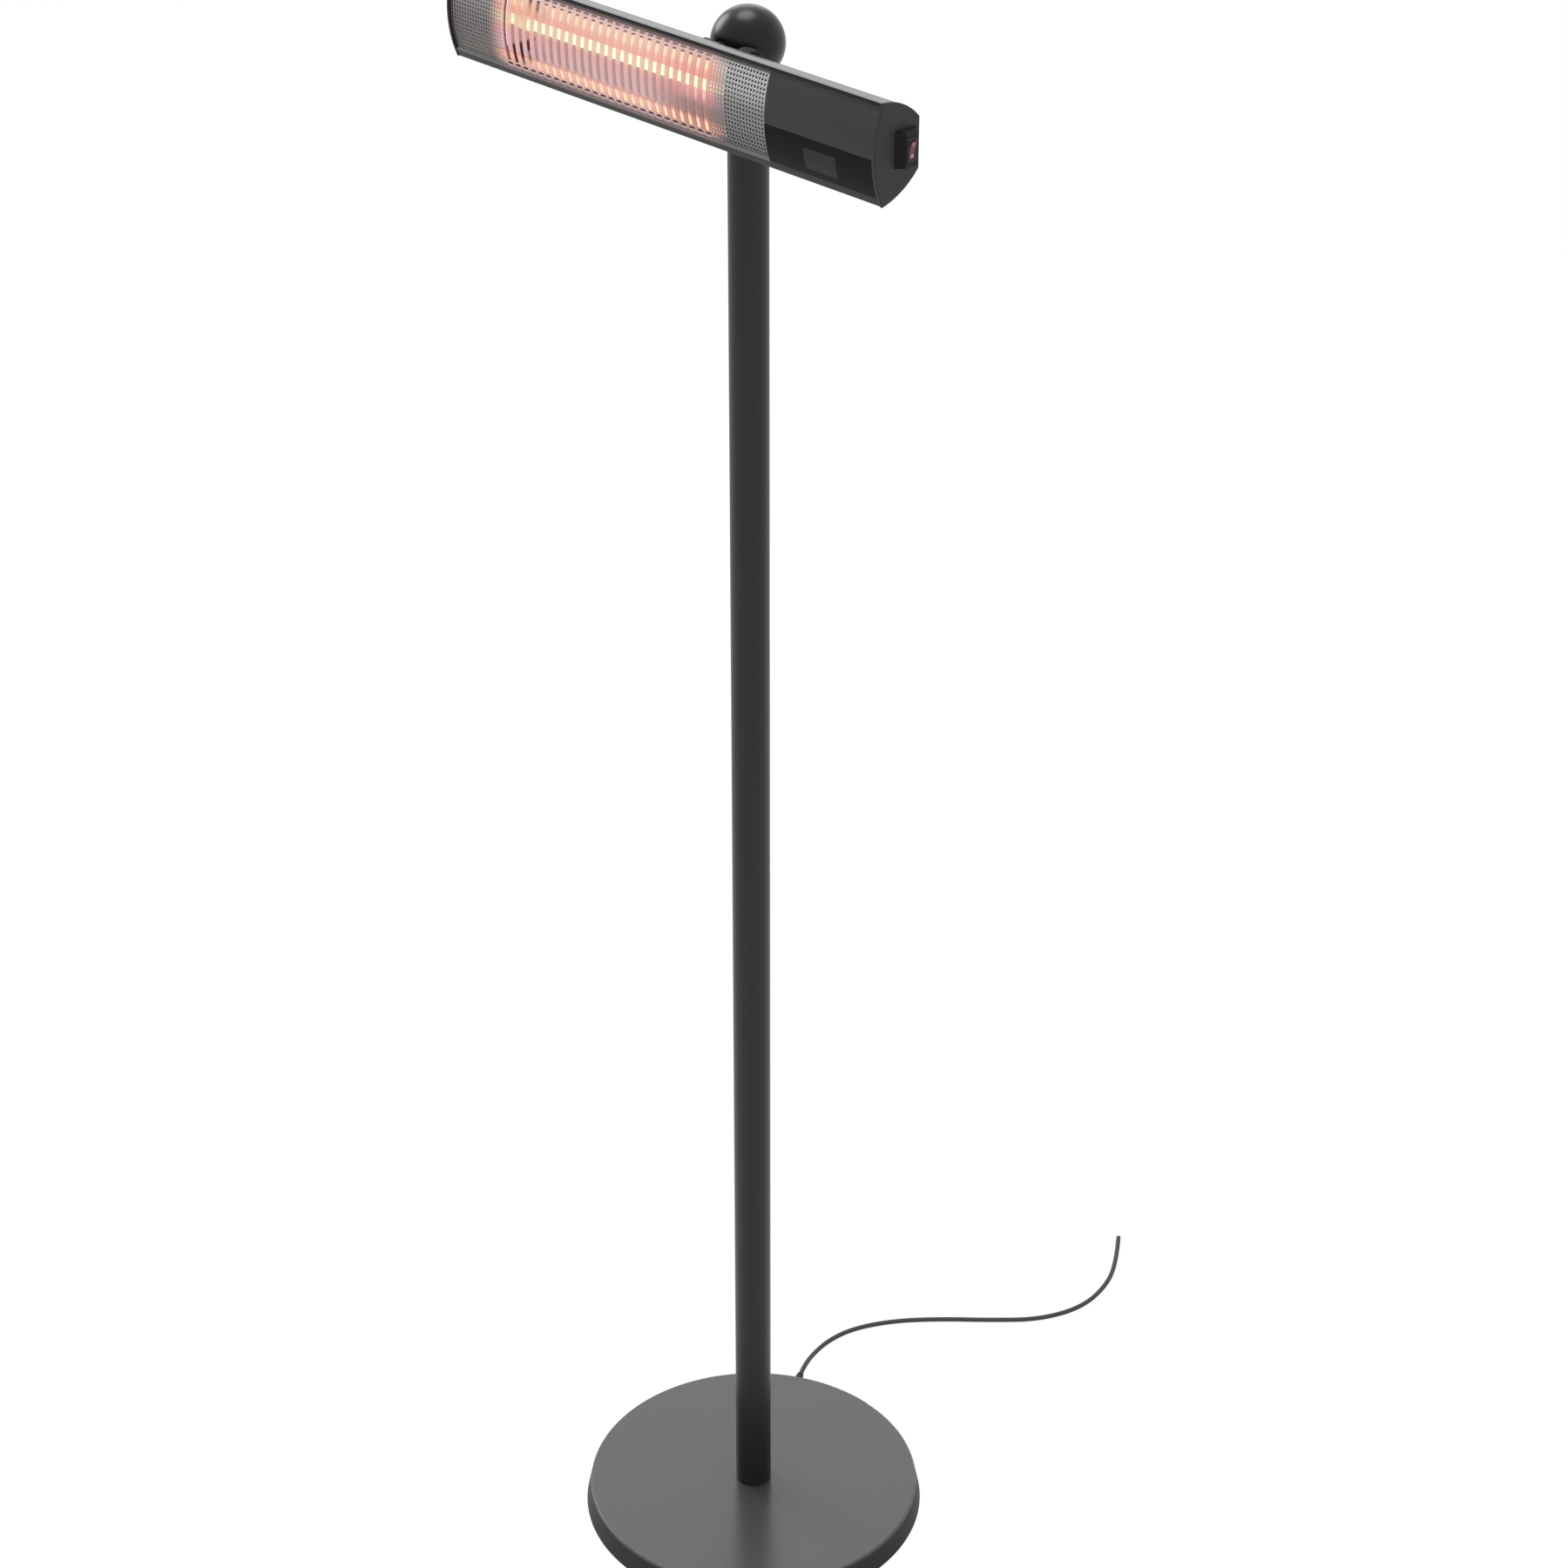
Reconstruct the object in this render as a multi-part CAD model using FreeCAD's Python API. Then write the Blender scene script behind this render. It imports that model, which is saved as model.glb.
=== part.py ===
import FreeCAD, Part
import math
import os

# Free-standing electric patio heater: a round weighted base, a straight pole, a ball that turns on
# the pole's top, and a long heater head that tilts on a hinge in front of the ball.
# Frame: origin at the centre of the underside, +Z up, the heater faces -Y, its switch end is at +X.
# Lengths are in millimetres and angles in degrees.

# Allowances shared by all pieces
overrun = 5.0
touch_gap = 0.2
slide_gap = 0.05
swing_gap = 0.4
full_turn = 360.0

# Base
base_d = 450.0
base_slant = 6.5
base_h = 31.0
base_shell_t = 2.0
base_rim_clear = 1.0
base_edge_r = 2.5
mat_inset = 11.0
mat_t = 3.0
base_floor_t = 3.0
ballast_clear = 16.5
ballast_t = 18.0
ballast_bore_d = 48.0
flange_d = 110.0
flange_screw_pcd = 80.0
flange_screw_d = 8.0
flange_screw_head_d = 14.0
flange_screw_head_h = 3.5
flange_screw_len = 18.0
floor_screw_inset = 40.0
floor_screw_d = 5.0
floor_screw_head_d = 10.0
floor_screw_head_h = 2.5
floor_screw_len = 16.0
screws_per_ring = 4

# Pole and swivel
pole_d = 46.5
pole_wall = 2.0
spigot_wall = 4.0
spigot_len = 120.0
set_screw_d = 6.0
set_screw_rise = 60.0
set_screw_azimuths = (60.0, 120.0)
plug_len = 40.0
plug_bore_d = 12.0
journal_d = 26.0
journal_len = 34.0
journal_groove_w = 7.2
journal_groove_depth = 1.6
journal_groove_rise = 21.0
thrust_washer_t = 1.5

# Ball
ball_d = 82.5
ball_z = 2019.0
ball_face_depth = 39.0
swivel_screw_d = 6.0
swivel_screw_end = 36.5

# Tilt joint
hinge_y = 54.0
barrel_d = 28.0
barrel_half = 10.0
arm_neck_d = 18.0
arm_collar_d = 20.0
arm_collar_t = 2.0
arm_shank_d = 14.0
arm_shank_len = 21.0
hinge_bolt_d = 10.0
hinge_head_d = 18.0
hinge_head_h = 5.0
hinge_head_edge_r = 2.0
friction_washer_d = 29.0
friction_washer_t = 2.0
ear_t = 4.0
ear_d = 26.0
bracket_plate_t = 4.0
bracket_plate_h = 42.0
bracket_plate_side = 14.0
bracket_screw_d = 6.0
bracket_screw_head_d = 10.0
bracket_screw_head_h = 3.0
bracket_screw_len = 9.0
bracket_screw_x = 24.0
bracket_screw_z = 13.0
knob_washer_d = 20.0
knob_washer_t = 1.5
knob_hub_d = 22.0
knob_hub_len = 28.5
knob_d = 37.0
knob_len = 22.0
knob_edge_r = 5.0
knob_flutes = 10
knob_flute_d = 9.0
knob_flute_depth = 1.2
knob_cover = 7.0

# Head section, measured forward from the flat of its back and up from its middle
head_back_y = 81.0
head_drop = 9.0
head_len = 677.0
section_top_h = 53.4
section_low_h = -54.6
section_chord_depth = 50.9
section_bulge = 11.2
back_top_h = 29.3
back_low_h = -24.8
crown_depth = 24.0
crown_top_h = 47.0
crown_low_h = -44.3
housing_wall = 2.0
lip_top_w = 6.4
lip_low_w = 9.0
port_d = 7.2
back_port_depth = 10.0
back_port_top_h = 32.5
back_port_low_h = -28.3
front_port_depth = 41.0
front_port_h = 47.0

# End caps
cap_t = 3.2
cap_proud = 0.8
cap_edge_r = 1.6
gasket_t = 0.8
gasket_w = 4.0
cap_screw_d = 4.0
cap_screw_head_d = 7.0
cap_screw_head_h = 2.2
cap_screw_len = 22.0

# Grille
grille_t = 1.0
grille_tuck = 3.0
left_mesh_len = 103.5
right_mesh_len = 71.5
slot_count = 26
slot_width_share = 0.42
slot_low_h = -42.0
slot_top_h = 45.6
mesh_margin = 5.0
mesh_pitch = 9.0
mesh_hole = 5.6
mesh_low_h = -40.2
mesh_top_h = 43.8

# Control end
control_len = 158.0
cover_t = 2.5
panel_top_h = -3.7
panel_t = 1.6
panel_from_end = 2.0
lens_from_end = 101.5
lens_len = 47.0
lens_ledge = 1.6
lens_low_h = -38.7
lens_top_h = -14.8
board_from_cover = 19.3
board_from_end = 12.5
board_half_h = 30.0
board_depth = 38.0
board_t = 1.6
standoff_d = 6.0
standoff_inset = 6.0
standoff_h = 12.0
relay_inset = 19.0
relay_len = 29.0
relay_half_h = 8.0
relay_depth = 15.0
receiver_d = 8.0
terminal_reach = 30.5
terminal_len = 42.0
terminal_half_h = 9.0
terminal_depth = 14.0
terminal_bore_d = 4.0
terminal_ways = 4

# Lamp
bulkhead_t = 1.5
bulkhead_margin = 8.0
bulkhead_gap = 0.3
reflector_t = 0.8
reflector_edge_depth = 45.0
reflector_edge_h = 43.0
reflector_vertex_depth = 12.5
lamp_depth = 30.0
quartz_d = 11.0
quartz_wall = 1.2
filament_d = 2.8
ceramic_d = 15.0
ceramic_inside = 8.0
ceramic_outside = 22.0
ceramic_socket = 10.0
clip_side = 27.0
clip_t = 1.5
lead_d = 3.0
lead_depth = 7.5
lead_stub = 12.0
lead_bend_r = 8.0

# Switch on the right end cap
boss_y = 101.0
boss_rise = 1.5
boss_h = 9.5
boss_base_w = 30.0
boss_base_len = 39.0
boss_top_w = 17.0
boss_top_len = 36.0
bezel_w = 12.7
bezel_len = 25.0
bezel_t = 1.0
bezel_wall = 0.9
bezel_depth = 9.0
rocker_w = 6.6
rocker_len = 19.0
rocker_crown = 2.6
rocker_dip = 1.2
rocker_depth = 3.5
rocker_pivot_depth = 1.6
rocker_rest_tilt = 9.0
rocker_pin_d = 2.0
switch_body_len = 16.0

# Cord and supply cable
cord_d = 6.6
cord_azimuth = 121.2
gland_z = 12.5
gland_neck_d = 10.0
gland_neck_len = 14.0
gland_flange_d = 15.0
gland_flange_t = 3.0
boot_len = 20.0
boot_end_d = 9.2
supply_bend_r = 34.0
groove_w = 13.0
groove_h = 12.0
bend_share = 0.45
cord_exit_run = 20.0
cord_drop_z = 6.5
cord_route = (
    (-154.0, 262.0),
    (-163.5, 302.0),
    (-158.5, 346.0),
    (-131.5, 400.0),
    (-88.0, 452.0),
    (-34.0, 505.0),
    (12.0, 556.0),
    (35.5, 622.0),
    (23.5, 690.0),
    (-7.0, 743.0),
    (-41.5, 786.0),
)

# Values that follow from the sizes above
base_r = base_d / 2
base_top_r = base_r - base_slant
mat_r = base_r - mat_inset
ballast_r = base_top_r - base_shell_t - ballast_clear
floor_screw_ring_r = ballast_r - floor_screw_inset
base_floor_top = mat_t + base_floor_t
ballast_top = base_floor_top + ballast_t
flange_top = base_h - base_shell_t
pole_r = pole_d / 2
pole_bore_r = pole_r - pole_wall
spigot_r = pole_bore_r - slide_gap
ball_r = ball_d / 2
ball_low = ball_z - math.sqrt(ball_r ** 2 - pole_r ** 2)
pole_top = ball_low - thrust_washer_t
journal_r = journal_d / 2
groove_z = pole_top + journal_groove_rise
ear_in = barrel_half + friction_washer_t
ear_out = ear_in + ear_t
knob_hub_x = ear_out + knob_washer_t
knob_x = knob_hub_x + knob_hub_len
knob_end_x = knob_x + knob_len
head_z = ball_z - head_drop
front_r = (section_top_h ** 2 + section_bulge ** 2) / (2 * section_bulge)
front_centre_depth = section_chord_depth + section_bulge - front_r
cap_out_x = head_len / 2
cap_in_x = cap_out_x - cap_t
housing_x = cap_in_x - gasket_t
lip_top_h = section_top_h - lip_top_w
lip_low_h = section_low_h + lip_low_w
sheet_r = front_r - housing_wall - touch_gap
pad_top_h = lip_top_h - touch_gap
pad_low_h = lip_low_h + touch_gap
grille_right_x = housing_x - control_len
slot_zone_left_x = left_mesh_len - housing_x
slot_zone_right_x = grille_right_x - right_mesh_len
cover_left_x = grille_right_x + touch_gap
panel_right_x = housing_x - panel_from_end
lens_left_x = housing_x - lens_from_end
lens_right_x = lens_left_x + lens_len
board_left_x = cover_left_x + board_from_cover
board_right_x = housing_x - board_from_end
relay_x = board_left_x + relay_inset
terminal_x = grille_right_x - terminal_reach
bulkhead_left_x = slot_zone_left_x - bulkhead_margin
bulkhead_right_x = slot_zone_right_x + bulkhead_margin
reflector_sag = reflector_edge_depth - reflector_vertex_depth
reflector_r = (reflector_edge_h ** 2 + reflector_sag ** 2) / (2 * reflector_sag)
reflector_centre_depth = reflector_vertex_depth + reflector_r
boss_z = head_z + boss_rise
boss_out_x = cap_out_x + boss_h
rocker_pivot_x = boss_out_x + bezel_t - rocker_pivot_depth
boot_start = base_r - base_slant * gland_z / base_h + gland_flange_t
boot_end = boot_start + boot_len
screw_azimuth = cord_azimuth + full_turn / screws_per_ring / 2


def vec(x, y, z):
    return FreeCAD.Vector(x, y, z)


ORIGIN = vec(0, 0, 0)
X_DIR = vec(1, 0, 0)
Y_DIR = vec(0, 1, 0)
Z_DIR = vec(0, 0, 1)


def rod(diameter, start, end):
    """Round bar between two points."""
    axis = end.sub(start)
    return Part.makeCylinder(diameter / 2, axis.Length, start, axis)


def block(low, high):
    """Box between two opposite corners."""
    size = high.sub(low)
    return Part.makeBox(size.x, size.y, size.z, low)


def turned(outline):
    """Solid of revolution about the pole's axis, from (radius, height) corners."""
    corners = [vec(radius, 0, height) for radius, height in outline]
    face = Part.Face(Part.makePolygon(corners + corners[:1]))
    return face.revolve(ORIGIN, Z_DIR, full_turn)


def round_edges(solid, radius, circle_r, height):
    """Fillets a solid's round edges of one radius that lie at one height."""
    found = []
    for edge in solid.Edges:
        if isinstance(edge.Curve, Part.Circle) and math.isclose(edge.Curve.Radius, circle_r):
            if math.isclose(edge.Curve.Center.z, height):
                found.append(edge)
    return solid.makeFillet(radius, found)


def flat_screw(head_at, into, head_d, head_h, shank_d, length, gap=0):
    """Countersunk screw: its head's face lies at head_at and it points along into."""
    head = Part.makeCone(head_d / 2 + gap, shank_d / 2 + gap, head_h, head_at, into)
    return head.fuse(rod(shank_d + 2 * gap, head_at, head_at + into * length)).removeSplitter()


def ring_points(radius, z):
    """Places of one ring of screws round the pole's axis, turned clear of the cord."""
    points = []
    for index in range(screws_per_ring):
        angle = math.radians(screw_azimuth + full_turn * index / screws_per_ring)
        points.append(vec(math.cos(angle) * radius, math.sin(angle) * radius, z))
    return points


def cut_all(solid, tools):
    return solid.cut(Part.makeCompound(tools))


def radial(shape):
    """Turns a shape that was built along +X to the azimuth where the cord leaves the base."""
    return shape.rotated(ORIGIN, Z_DIR, cord_azimuth)


def rounded_route(points, bend_r=None):
    """Straight runs joined by tangent arcs, each as large as its runs allow unless bend_r is given."""
    edges = []
    radii = []
    start = points[0]
    for before, corner, after in zip(points, points[1:], points[2:]):
        run_in = corner.sub(before)
        run_out = after.sub(corner)
        half_turn = run_in.getAngle(run_out) / 2
        reach = bend_share * min(run_in.Length, run_out.Length)
        radius = reach / math.tan(half_turn)
        if bend_r:
            radius = bend_r
            reach = radius * math.tan(half_turn)
        way_in = run_in / run_in.Length
        way_out = run_out / run_out.Length
        inward = way_out.sub(way_in)
        inward = inward / inward.Length
        arc_start = corner.sub(way_in * reach)
        arc_middle = corner + inward * (radius / math.cos(half_turn) - radius)
        arc_end = corner + way_out * reach
        edges.append(Part.LineSegment(start, arc_start).toShape())
        edges.append(Part.Arc(arc_start, arc_middle, arc_end).toShape())
        radii.append(radius)
        start = arc_end
    edges.append(Part.LineSegment(start, points[-1]).toShape())
    return Part.Wire(edges), radii


def cable(name, points, diameter, bend_r=None):
    """Round cable along a rounded route. Prints its radii and compares its volume with its length."""
    path, radii = rounded_route(points, bend_r)
    ring = Part.Wire(Part.Circle(points[0], points[1].sub(points[0]), diameter / 2).toShape())
    solid = path.makePipeShell([ring], True, False)
    expected = math.pi * diameter ** 2 / 4 * path.Length
    print(name, "length %.1f" % path.Length, "radii", ["%.0f" % radius for radius in radii])
    print(name, "volume over section times length %.5f" % (solid.Volume / expected))
    return solid


# Base

def base_form_r(z):
    """Radius of the base's slanted side at a height."""
    return base_r - base_slant * z / base_h


def floor_mat():
    return rod(2 * mat_r, ORIGIN, vec(0, 0, mat_t))


def floor_screw_places():
    return ring_points(floor_screw_ring_r, mat_t)


def floor_screw(place, gap=0):
    return flat_screw(place, Z_DIR, floor_screw_head_d, floor_screw_head_h, floor_screw_d,
                      floor_screw_len, gap)


def floor_screws():
    return Part.makeCompound([floor_screw(place) for place in floor_screw_places()])


def base_floor():
    radius = base_form_r(base_floor_top) - base_shell_t - touch_gap
    plate = rod(2 * radius, vec(0, 0, mat_t), vec(0, 0, base_floor_top))
    return cut_all(plate, [floor_screw(place, slide_gap) for place in floor_screw_places()])


def flange_screw_places():
    return ring_points(flange_screw_pcd / 2, flange_top)


def flange_screw(place, gap=0):
    return flat_screw(place, -Z_DIR, flange_screw_head_d, flange_screw_head_h, flange_screw_d,
                      flange_screw_len, gap)


def flange_screws():
    return Part.makeCompound([flange_screw(place) for place in flange_screw_places()])


def base_ballast():
    """Cast disc with a centre hole and a groove under it for the supply cable."""
    disc = rod(2 * ballast_r, vec(0, 0, base_floor_top), vec(0, 0, ballast_top))
    tools = [rod(ballast_bore_d, vec(0, 0, base_floor_top - overrun), vec(0, 0, ballast_top + overrun))]
    groove = block(vec(0, -groove_w / 2, base_floor_top - overrun),
                   vec(base_r, groove_w / 2, base_floor_top + groove_h))
    tools.append(radial(groove))
    tools += [floor_screw(place, slide_gap) for place in floor_screw_places()]
    tools += [flange_screw(place, slide_gap) for place in flange_screw_places()]
    return cut_all(disc, tools)


def pole_spigot():
    """Tube that the pole slides over, with the flange that is screwed to the ballast."""
    flange = rod(flange_d, vec(0, 0, ballast_top), vec(0, 0, flange_top))
    stub = rod(2 * spigot_r, vec(0, 0, ballast_top), vec(0, 0, base_h + spigot_len))
    bore = rod(2 * (spigot_r - spigot_wall), vec(0, 0, ballast_top - overrun),
               vec(0, 0, base_h + spigot_len + overrun))
    body = flange.fuse(stub).removeSplitter()
    tools = [bore] + [flange_screw(place, slide_gap) for place in flange_screw_places()]
    tools += [set_screw(azimuth, slide_gap) for azimuth in set_screw_azimuths]
    return cut_all(body, tools)


def base_shell():
    """Pressed steel cover with a slanted side wall and a rolled top edge."""
    rim_r = base_form_r(base_rim_clear)
    hole_r = spigot_r + touch_gap
    shell = turned((
        (rim_r, base_rim_clear),
        (base_top_r, base_h),
        (hole_r, base_h),
        (hole_r, flange_top),
        (base_form_r(flange_top) - base_shell_t, flange_top),
        (rim_r - base_shell_t, base_rim_clear),
    ))
    shell = round_edges(shell, base_edge_r, base_top_r, base_h)
    inside = base_top_r - overrun
    return shell.cut(radial(rod(gland_neck_d + 2 * slide_gap, vec(inside, 0, gland_z),
                                vec(boot_end, 0, gland_z))))


def cord_gland():
    """Strain relief: a neck through the wall, a flange that follows the wall, and a tapered boot."""
    neck_start = vec(boot_start - gland_neck_len, 0, gland_z)
    seat = vec(boot_start, 0, gland_z)
    neck = rod(gland_neck_d, neck_start, seat)
    flange = rod(gland_flange_d, vec(boot_start - gland_neck_len / 2, 0, gland_z), seat)
    wall = Part.makeCone(base_r + touch_gap, base_top_r + touch_gap, base_h, ORIGIN, Z_DIR)
    boot = Part.makeCone(gland_flange_d / 2, boot_end_d / 2, boot_len, seat, X_DIR)
    body = flange.cut(wall).fuse([neck, boot]).removeSplitter()
    bore = rod(cord_d + 2 * touch_gap, neck_start - X_DIR * overrun, vec(boot_end + overrun, 0, gland_z))
    return radial(body.cut(bore))


def supply_cable():
    """Cable inside the base and the pole, from the boot's end to the top of the swivel journal."""
    angle = math.radians(cord_azimuth)
    start = vec(math.cos(angle) * boot_end, math.sin(angle) * boot_end, gland_z)
    points = [start, vec(0, 0, gland_z), vec(0, 0, pole_top + journal_len)]
    return cable("supply_cable", points, cord_d, supply_bend_r)


def power_cord():
    """Free cord: straight out of the boot, down to the floor and along it to its bare end."""
    angle = math.radians(cord_azimuth)
    out = vec(math.cos(angle), math.sin(angle), 0)
    exit_at = vec(0, 0, gland_z) + out * boot_end
    points = [exit_at, exit_at + out * cord_exit_run]
    for index, place in enumerate(cord_route):
        height = cord_d / 2 if index else cord_drop_z
        points.append(vec(place[0], place[1], height))
    return cable("power_cord", points, cord_d)


# Pole and swivel

def set_screw(azimuth, gap=0):
    start = vec(spigot_r - spigot_wall, 0, base_h + set_screw_rise)
    end = vec(pole_r, 0, base_h + set_screw_rise)
    return rod(set_screw_d + 2 * gap, start, end).rotated(ORIGIN, Z_DIR, azimuth)


def pole_set_screws():
    return Part.makeCompound([set_screw(azimuth).common(rod(pole_d, ORIGIN, vec(0, 0, pole_top)))
                              for azimuth in set_screw_azimuths])


def pole_tube():
    tube = rod(pole_d, vec(0, 0, base_h), vec(0, 0, pole_top))
    tools = [rod(2 * pole_bore_r, vec(0, 0, base_h - overrun), vec(0, 0, pole_top + overrun))]
    for azimuth in set_screw_azimuths:
        start = vec(0, 0, base_h + set_screw_rise)
        hole = rod(set_screw_d + 2 * slide_gap, start, start + X_DIR * pole_d)
        tools.append(hole.rotated(ORIGIN, Z_DIR, azimuth))
    return cut_all(tube, tools)


def pole_plug():
    """Plug in the pole's top with the journal that the ball turns on, bored for the cable."""
    shank_r = pole_bore_r - slide_gap
    bore_r = plug_bore_d / 2
    groove_r = journal_r - journal_groove_depth
    groove_low = groove_z - journal_groove_w / 2
    groove_top = groove_z + journal_groove_w / 2
    journal_top = pole_top + journal_len
    return turned((
        (bore_r, pole_top - plug_len),
        (shank_r, pole_top - plug_len),
        (shank_r, pole_top),
        (journal_r, pole_top),
        (journal_r, groove_low),
        (groove_r, groove_low),
        (groove_r, groove_top),
        (journal_r, groove_top),
        (journal_r, journal_top),
        (bore_r, journal_top),
    ))


def thrust_washer():
    washer = rod(pole_d, vec(0, 0, pole_top), vec(0, 0, ball_low))
    return washer.cut(rod(journal_d + 2 * touch_gap, vec(0, 0, pole_top), vec(0, 0, ball_low)))


def swivel_screw(gap=0):
    """Set screw at the ball's back. Its tip stands in the journal's groove."""
    tip = journal_r - journal_groove_depth / 2
    return rod(swivel_screw_d + 2 * gap, vec(0, tip, groove_z), vec(0, swivel_screw_end, groove_z))


def swivel_ball():
    """Ball cut flat at the pole and at the tilt arm's seat, bored for the journal and the arm."""
    ball = Part.makeSphere(ball_r, vec(0, 0, ball_z))
    tools = [
        block(vec(-ball_r, -ball_r, ball_z - ball_r - overrun), vec(ball_r, ball_r, ball_low)),
        block(vec(-ball_r, -ball_r - overrun, ball_z - ball_r),
              vec(ball_r, -ball_face_depth, ball_z + ball_r)),
        rod(journal_d + 2 * slide_gap, vec(0, 0, ball_low - overrun),
            vec(0, 0, pole_top + journal_len + swing_gap)),
        rod(arm_shank_d + 2 * slide_gap, vec(0, -ball_r, ball_z),
            vec(0, arm_shank_len - ball_face_depth, ball_z)),
        rod(swivel_screw_d + 2 * slide_gap, vec(0, 0, groove_z), vec(0, ball_r, groove_z)),
    ]
    return cut_all(ball, tools)


# Tilt joint

def hinge_at(x):
    return vec(x, -hinge_y, ball_z)


def tilt_arm():
    """Shank in the ball, collar on its flat, and the cross barrel that the head tilts on."""
    face = vec(0, -ball_face_depth, ball_z)
    shank = rod(arm_shank_d, face, face + Y_DIR * arm_shank_len)
    collar = rod(arm_collar_d, face, face - Y_DIR * arm_collar_t)
    neck = rod(arm_neck_d, face, hinge_at(0))
    barrel = rod(barrel_d, hinge_at(-barrel_half), hinge_at(barrel_half))
    body = barrel.fuse([neck, collar, shank]).removeSplitter()
    bore_half = barrel_half + overrun
    return body.cut(rod(hinge_bolt_d + 2 * slide_gap, hinge_at(-bore_half), hinge_at(bore_half)))


def washer_on_hinge(diameter, x_from, x_to):
    hole = rod(hinge_bolt_d + 2 * slide_gap, hinge_at(x_from), hinge_at(x_to))
    return rod(diameter, hinge_at(x_from), hinge_at(x_to)).cut(hole)


def friction_washers():
    pair = [washer_on_hinge(friction_washer_d, side * barrel_half, side * ear_in) for side in (-1, 1)]
    return Part.makeCompound(pair)


def knob_washer():
    return washer_on_hinge(knob_washer_d, ear_out, knob_hub_x)


def bracket_screw_places():
    return [vec(x, bracket_plate_t - head_back_y, head_z + z)
            for x in (-bracket_screw_x, bracket_screw_x) for z in (-bracket_screw_z, bracket_screw_z)]


def bracket_screws():
    screws = []
    for place in bracket_screw_places():
        head = rod(bracket_screw_head_d, place, place + Y_DIR * bracket_screw_head_h)
        shank = rod(bracket_screw_d, place, place - Y_DIR * bracket_screw_len)
        screws.append(head.fuse(shank).removeSplitter())
    return Part.makeCompound(screws)


def bracket_screw_holes():
    return [rod(bracket_screw_d + 2 * slide_gap, place + Y_DIR * overrun,
                place - Y_DIR * (bracket_screw_len + overrun)) for place in bracket_screw_places()]


def tilt_bracket():
    """Steel bracket: a plate on the housing's back and two rounded ears on the hinge."""
    half_w = ear_out + bracket_plate_side
    plate_y = bracket_plate_t - head_back_y
    body = block(vec(-half_w, -head_back_y, head_z - bracket_plate_h / 2),
                 vec(half_w, plate_y, head_z + bracket_plate_h / 2))
    for side in (-1, 1):
        inner = min(side * ear_in, side * ear_out)
        eye = rod(ear_d, hinge_at(inner), hinge_at(inner + ear_t))
        web = block(vec(inner, -head_back_y, ball_z - ear_d / 2),
                    vec(inner + ear_t, -hinge_y, ball_z + ear_d / 2))
        body = body.fuse([eye, web])
    bore = rod(hinge_bolt_d + 2 * slide_gap, hinge_at(-half_w - overrun), hinge_at(half_w + overrun))
    return cut_all(body.removeSplitter(), bracket_screw_holes() + [bore])


def hinge_bolt():
    head = rod(hinge_head_d, hinge_at(-ear_out - hinge_head_h), hinge_at(-ear_out))
    outer = [edge for edge in head.Edges if edge.BoundBox.XMax < -ear_out - hinge_head_h / 2]
    head = head.makeFillet(hinge_head_edge_r, [edge for edge in outer if edge.Closed])
    shank = rod(hinge_bolt_d, hinge_at(-ear_out), hinge_at(knob_end_x - knob_cover))
    return head.fuse(shank).removeSplitter()


def tilt_knob():
    """Fluted hand knob on the hinge bolt's end, with a rounded face and a hub against its washer."""
    body = rod(knob_d, hinge_at(knob_x), hinge_at(knob_end_x))
    body = body.makeFillet(knob_edge_r, [edge for edge in body.Edges if edge.Closed])
    flute_r = knob_d / 2 + knob_flute_d / 2 - knob_flute_depth
    flutes = []
    for index in range(knob_flutes):
        angle = full_turn * index / knob_flutes
        place = vec(knob_x - overrun, -hinge_y, ball_z + flute_r)
        flute = rod(knob_flute_d, place, place + X_DIR * (knob_len + 2 * overrun))
        flutes.append(flute.rotated(hinge_at(0), X_DIR, angle))
    body = cut_all(body, flutes)
    hub = rod(knob_hub_d, hinge_at(knob_hub_x), hinge_at(knob_x + knob_edge_r))
    bore = rod(hinge_bolt_d + 2 * slide_gap, hinge_at(knob_hub_x - overrun),
               hinge_at(knob_end_x - knob_cover + slide_gap))
    return body.fuse(hub).removeSplitter().cut(bore)


# Head section

def section_point(depth, height):
    """Point of the head's section at X = 0, from its depth ahead of the back and its height."""
    return vec(0, -head_back_y - depth, head_z + height)


def section_face(inset=0):
    """Lens-shaped outline of the head: flat back, crowned top and bottom, bulged front."""
    back_low = section_point(0, back_low_h)
    back_top = section_point(0, back_top_h)
    front_top = section_point(section_chord_depth, section_top_h)
    front_low = section_point(front_depth(front_r, section_low_h), section_low_h)
    nose = section_point(section_chord_depth + section_bulge, 0)
    edges = [
        Part.LineSegment(back_low, back_top),
        Part.Arc(back_top, section_point(crown_depth, crown_top_h), front_top),
        Part.Arc(front_top, nose, front_low),
        Part.Arc(front_low, section_point(crown_depth, crown_low_h), back_low),
    ]
    face = Part.Face(Part.Wire([edge.toShape() for edge in edges]))
    return face.makeOffset2D(-inset) if inset else face


def along(face, x_from, x_to):
    """Solid of a section face, drawn out along the head."""
    solid = face.extrude(vec(x_to - x_from, 0, 0))
    solid.translate(vec(x_from, 0, 0))
    return solid


def front_depth(radius, height):
    """Depth at a height on an arc about the centre of the head's front."""
    return front_centre_depth + math.sqrt(radius ** 2 - height ** 2)


def front_band(radius, thickness, low_h, top_h, x_from, x_to):
    """Curved sheet that follows the head's front."""
    middle_h = (low_h + top_h) / 2
    outer = [section_point(front_depth(radius, h), h) for h in (low_h, middle_h, top_h)]
    inner = [section_point(front_depth(radius - thickness, h), h) for h in (top_h, middle_h, low_h)]
    edges = [
        Part.Arc(*outer),
        Part.LineSegment(outer[-1], inner[0]),
        Part.Arc(*inner),
        Part.LineSegment(inner[-1], outer[0]),
    ]
    return along(Part.Face(Part.Wire([edge.toShape() for edge in edges])), x_from, x_to)


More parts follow.
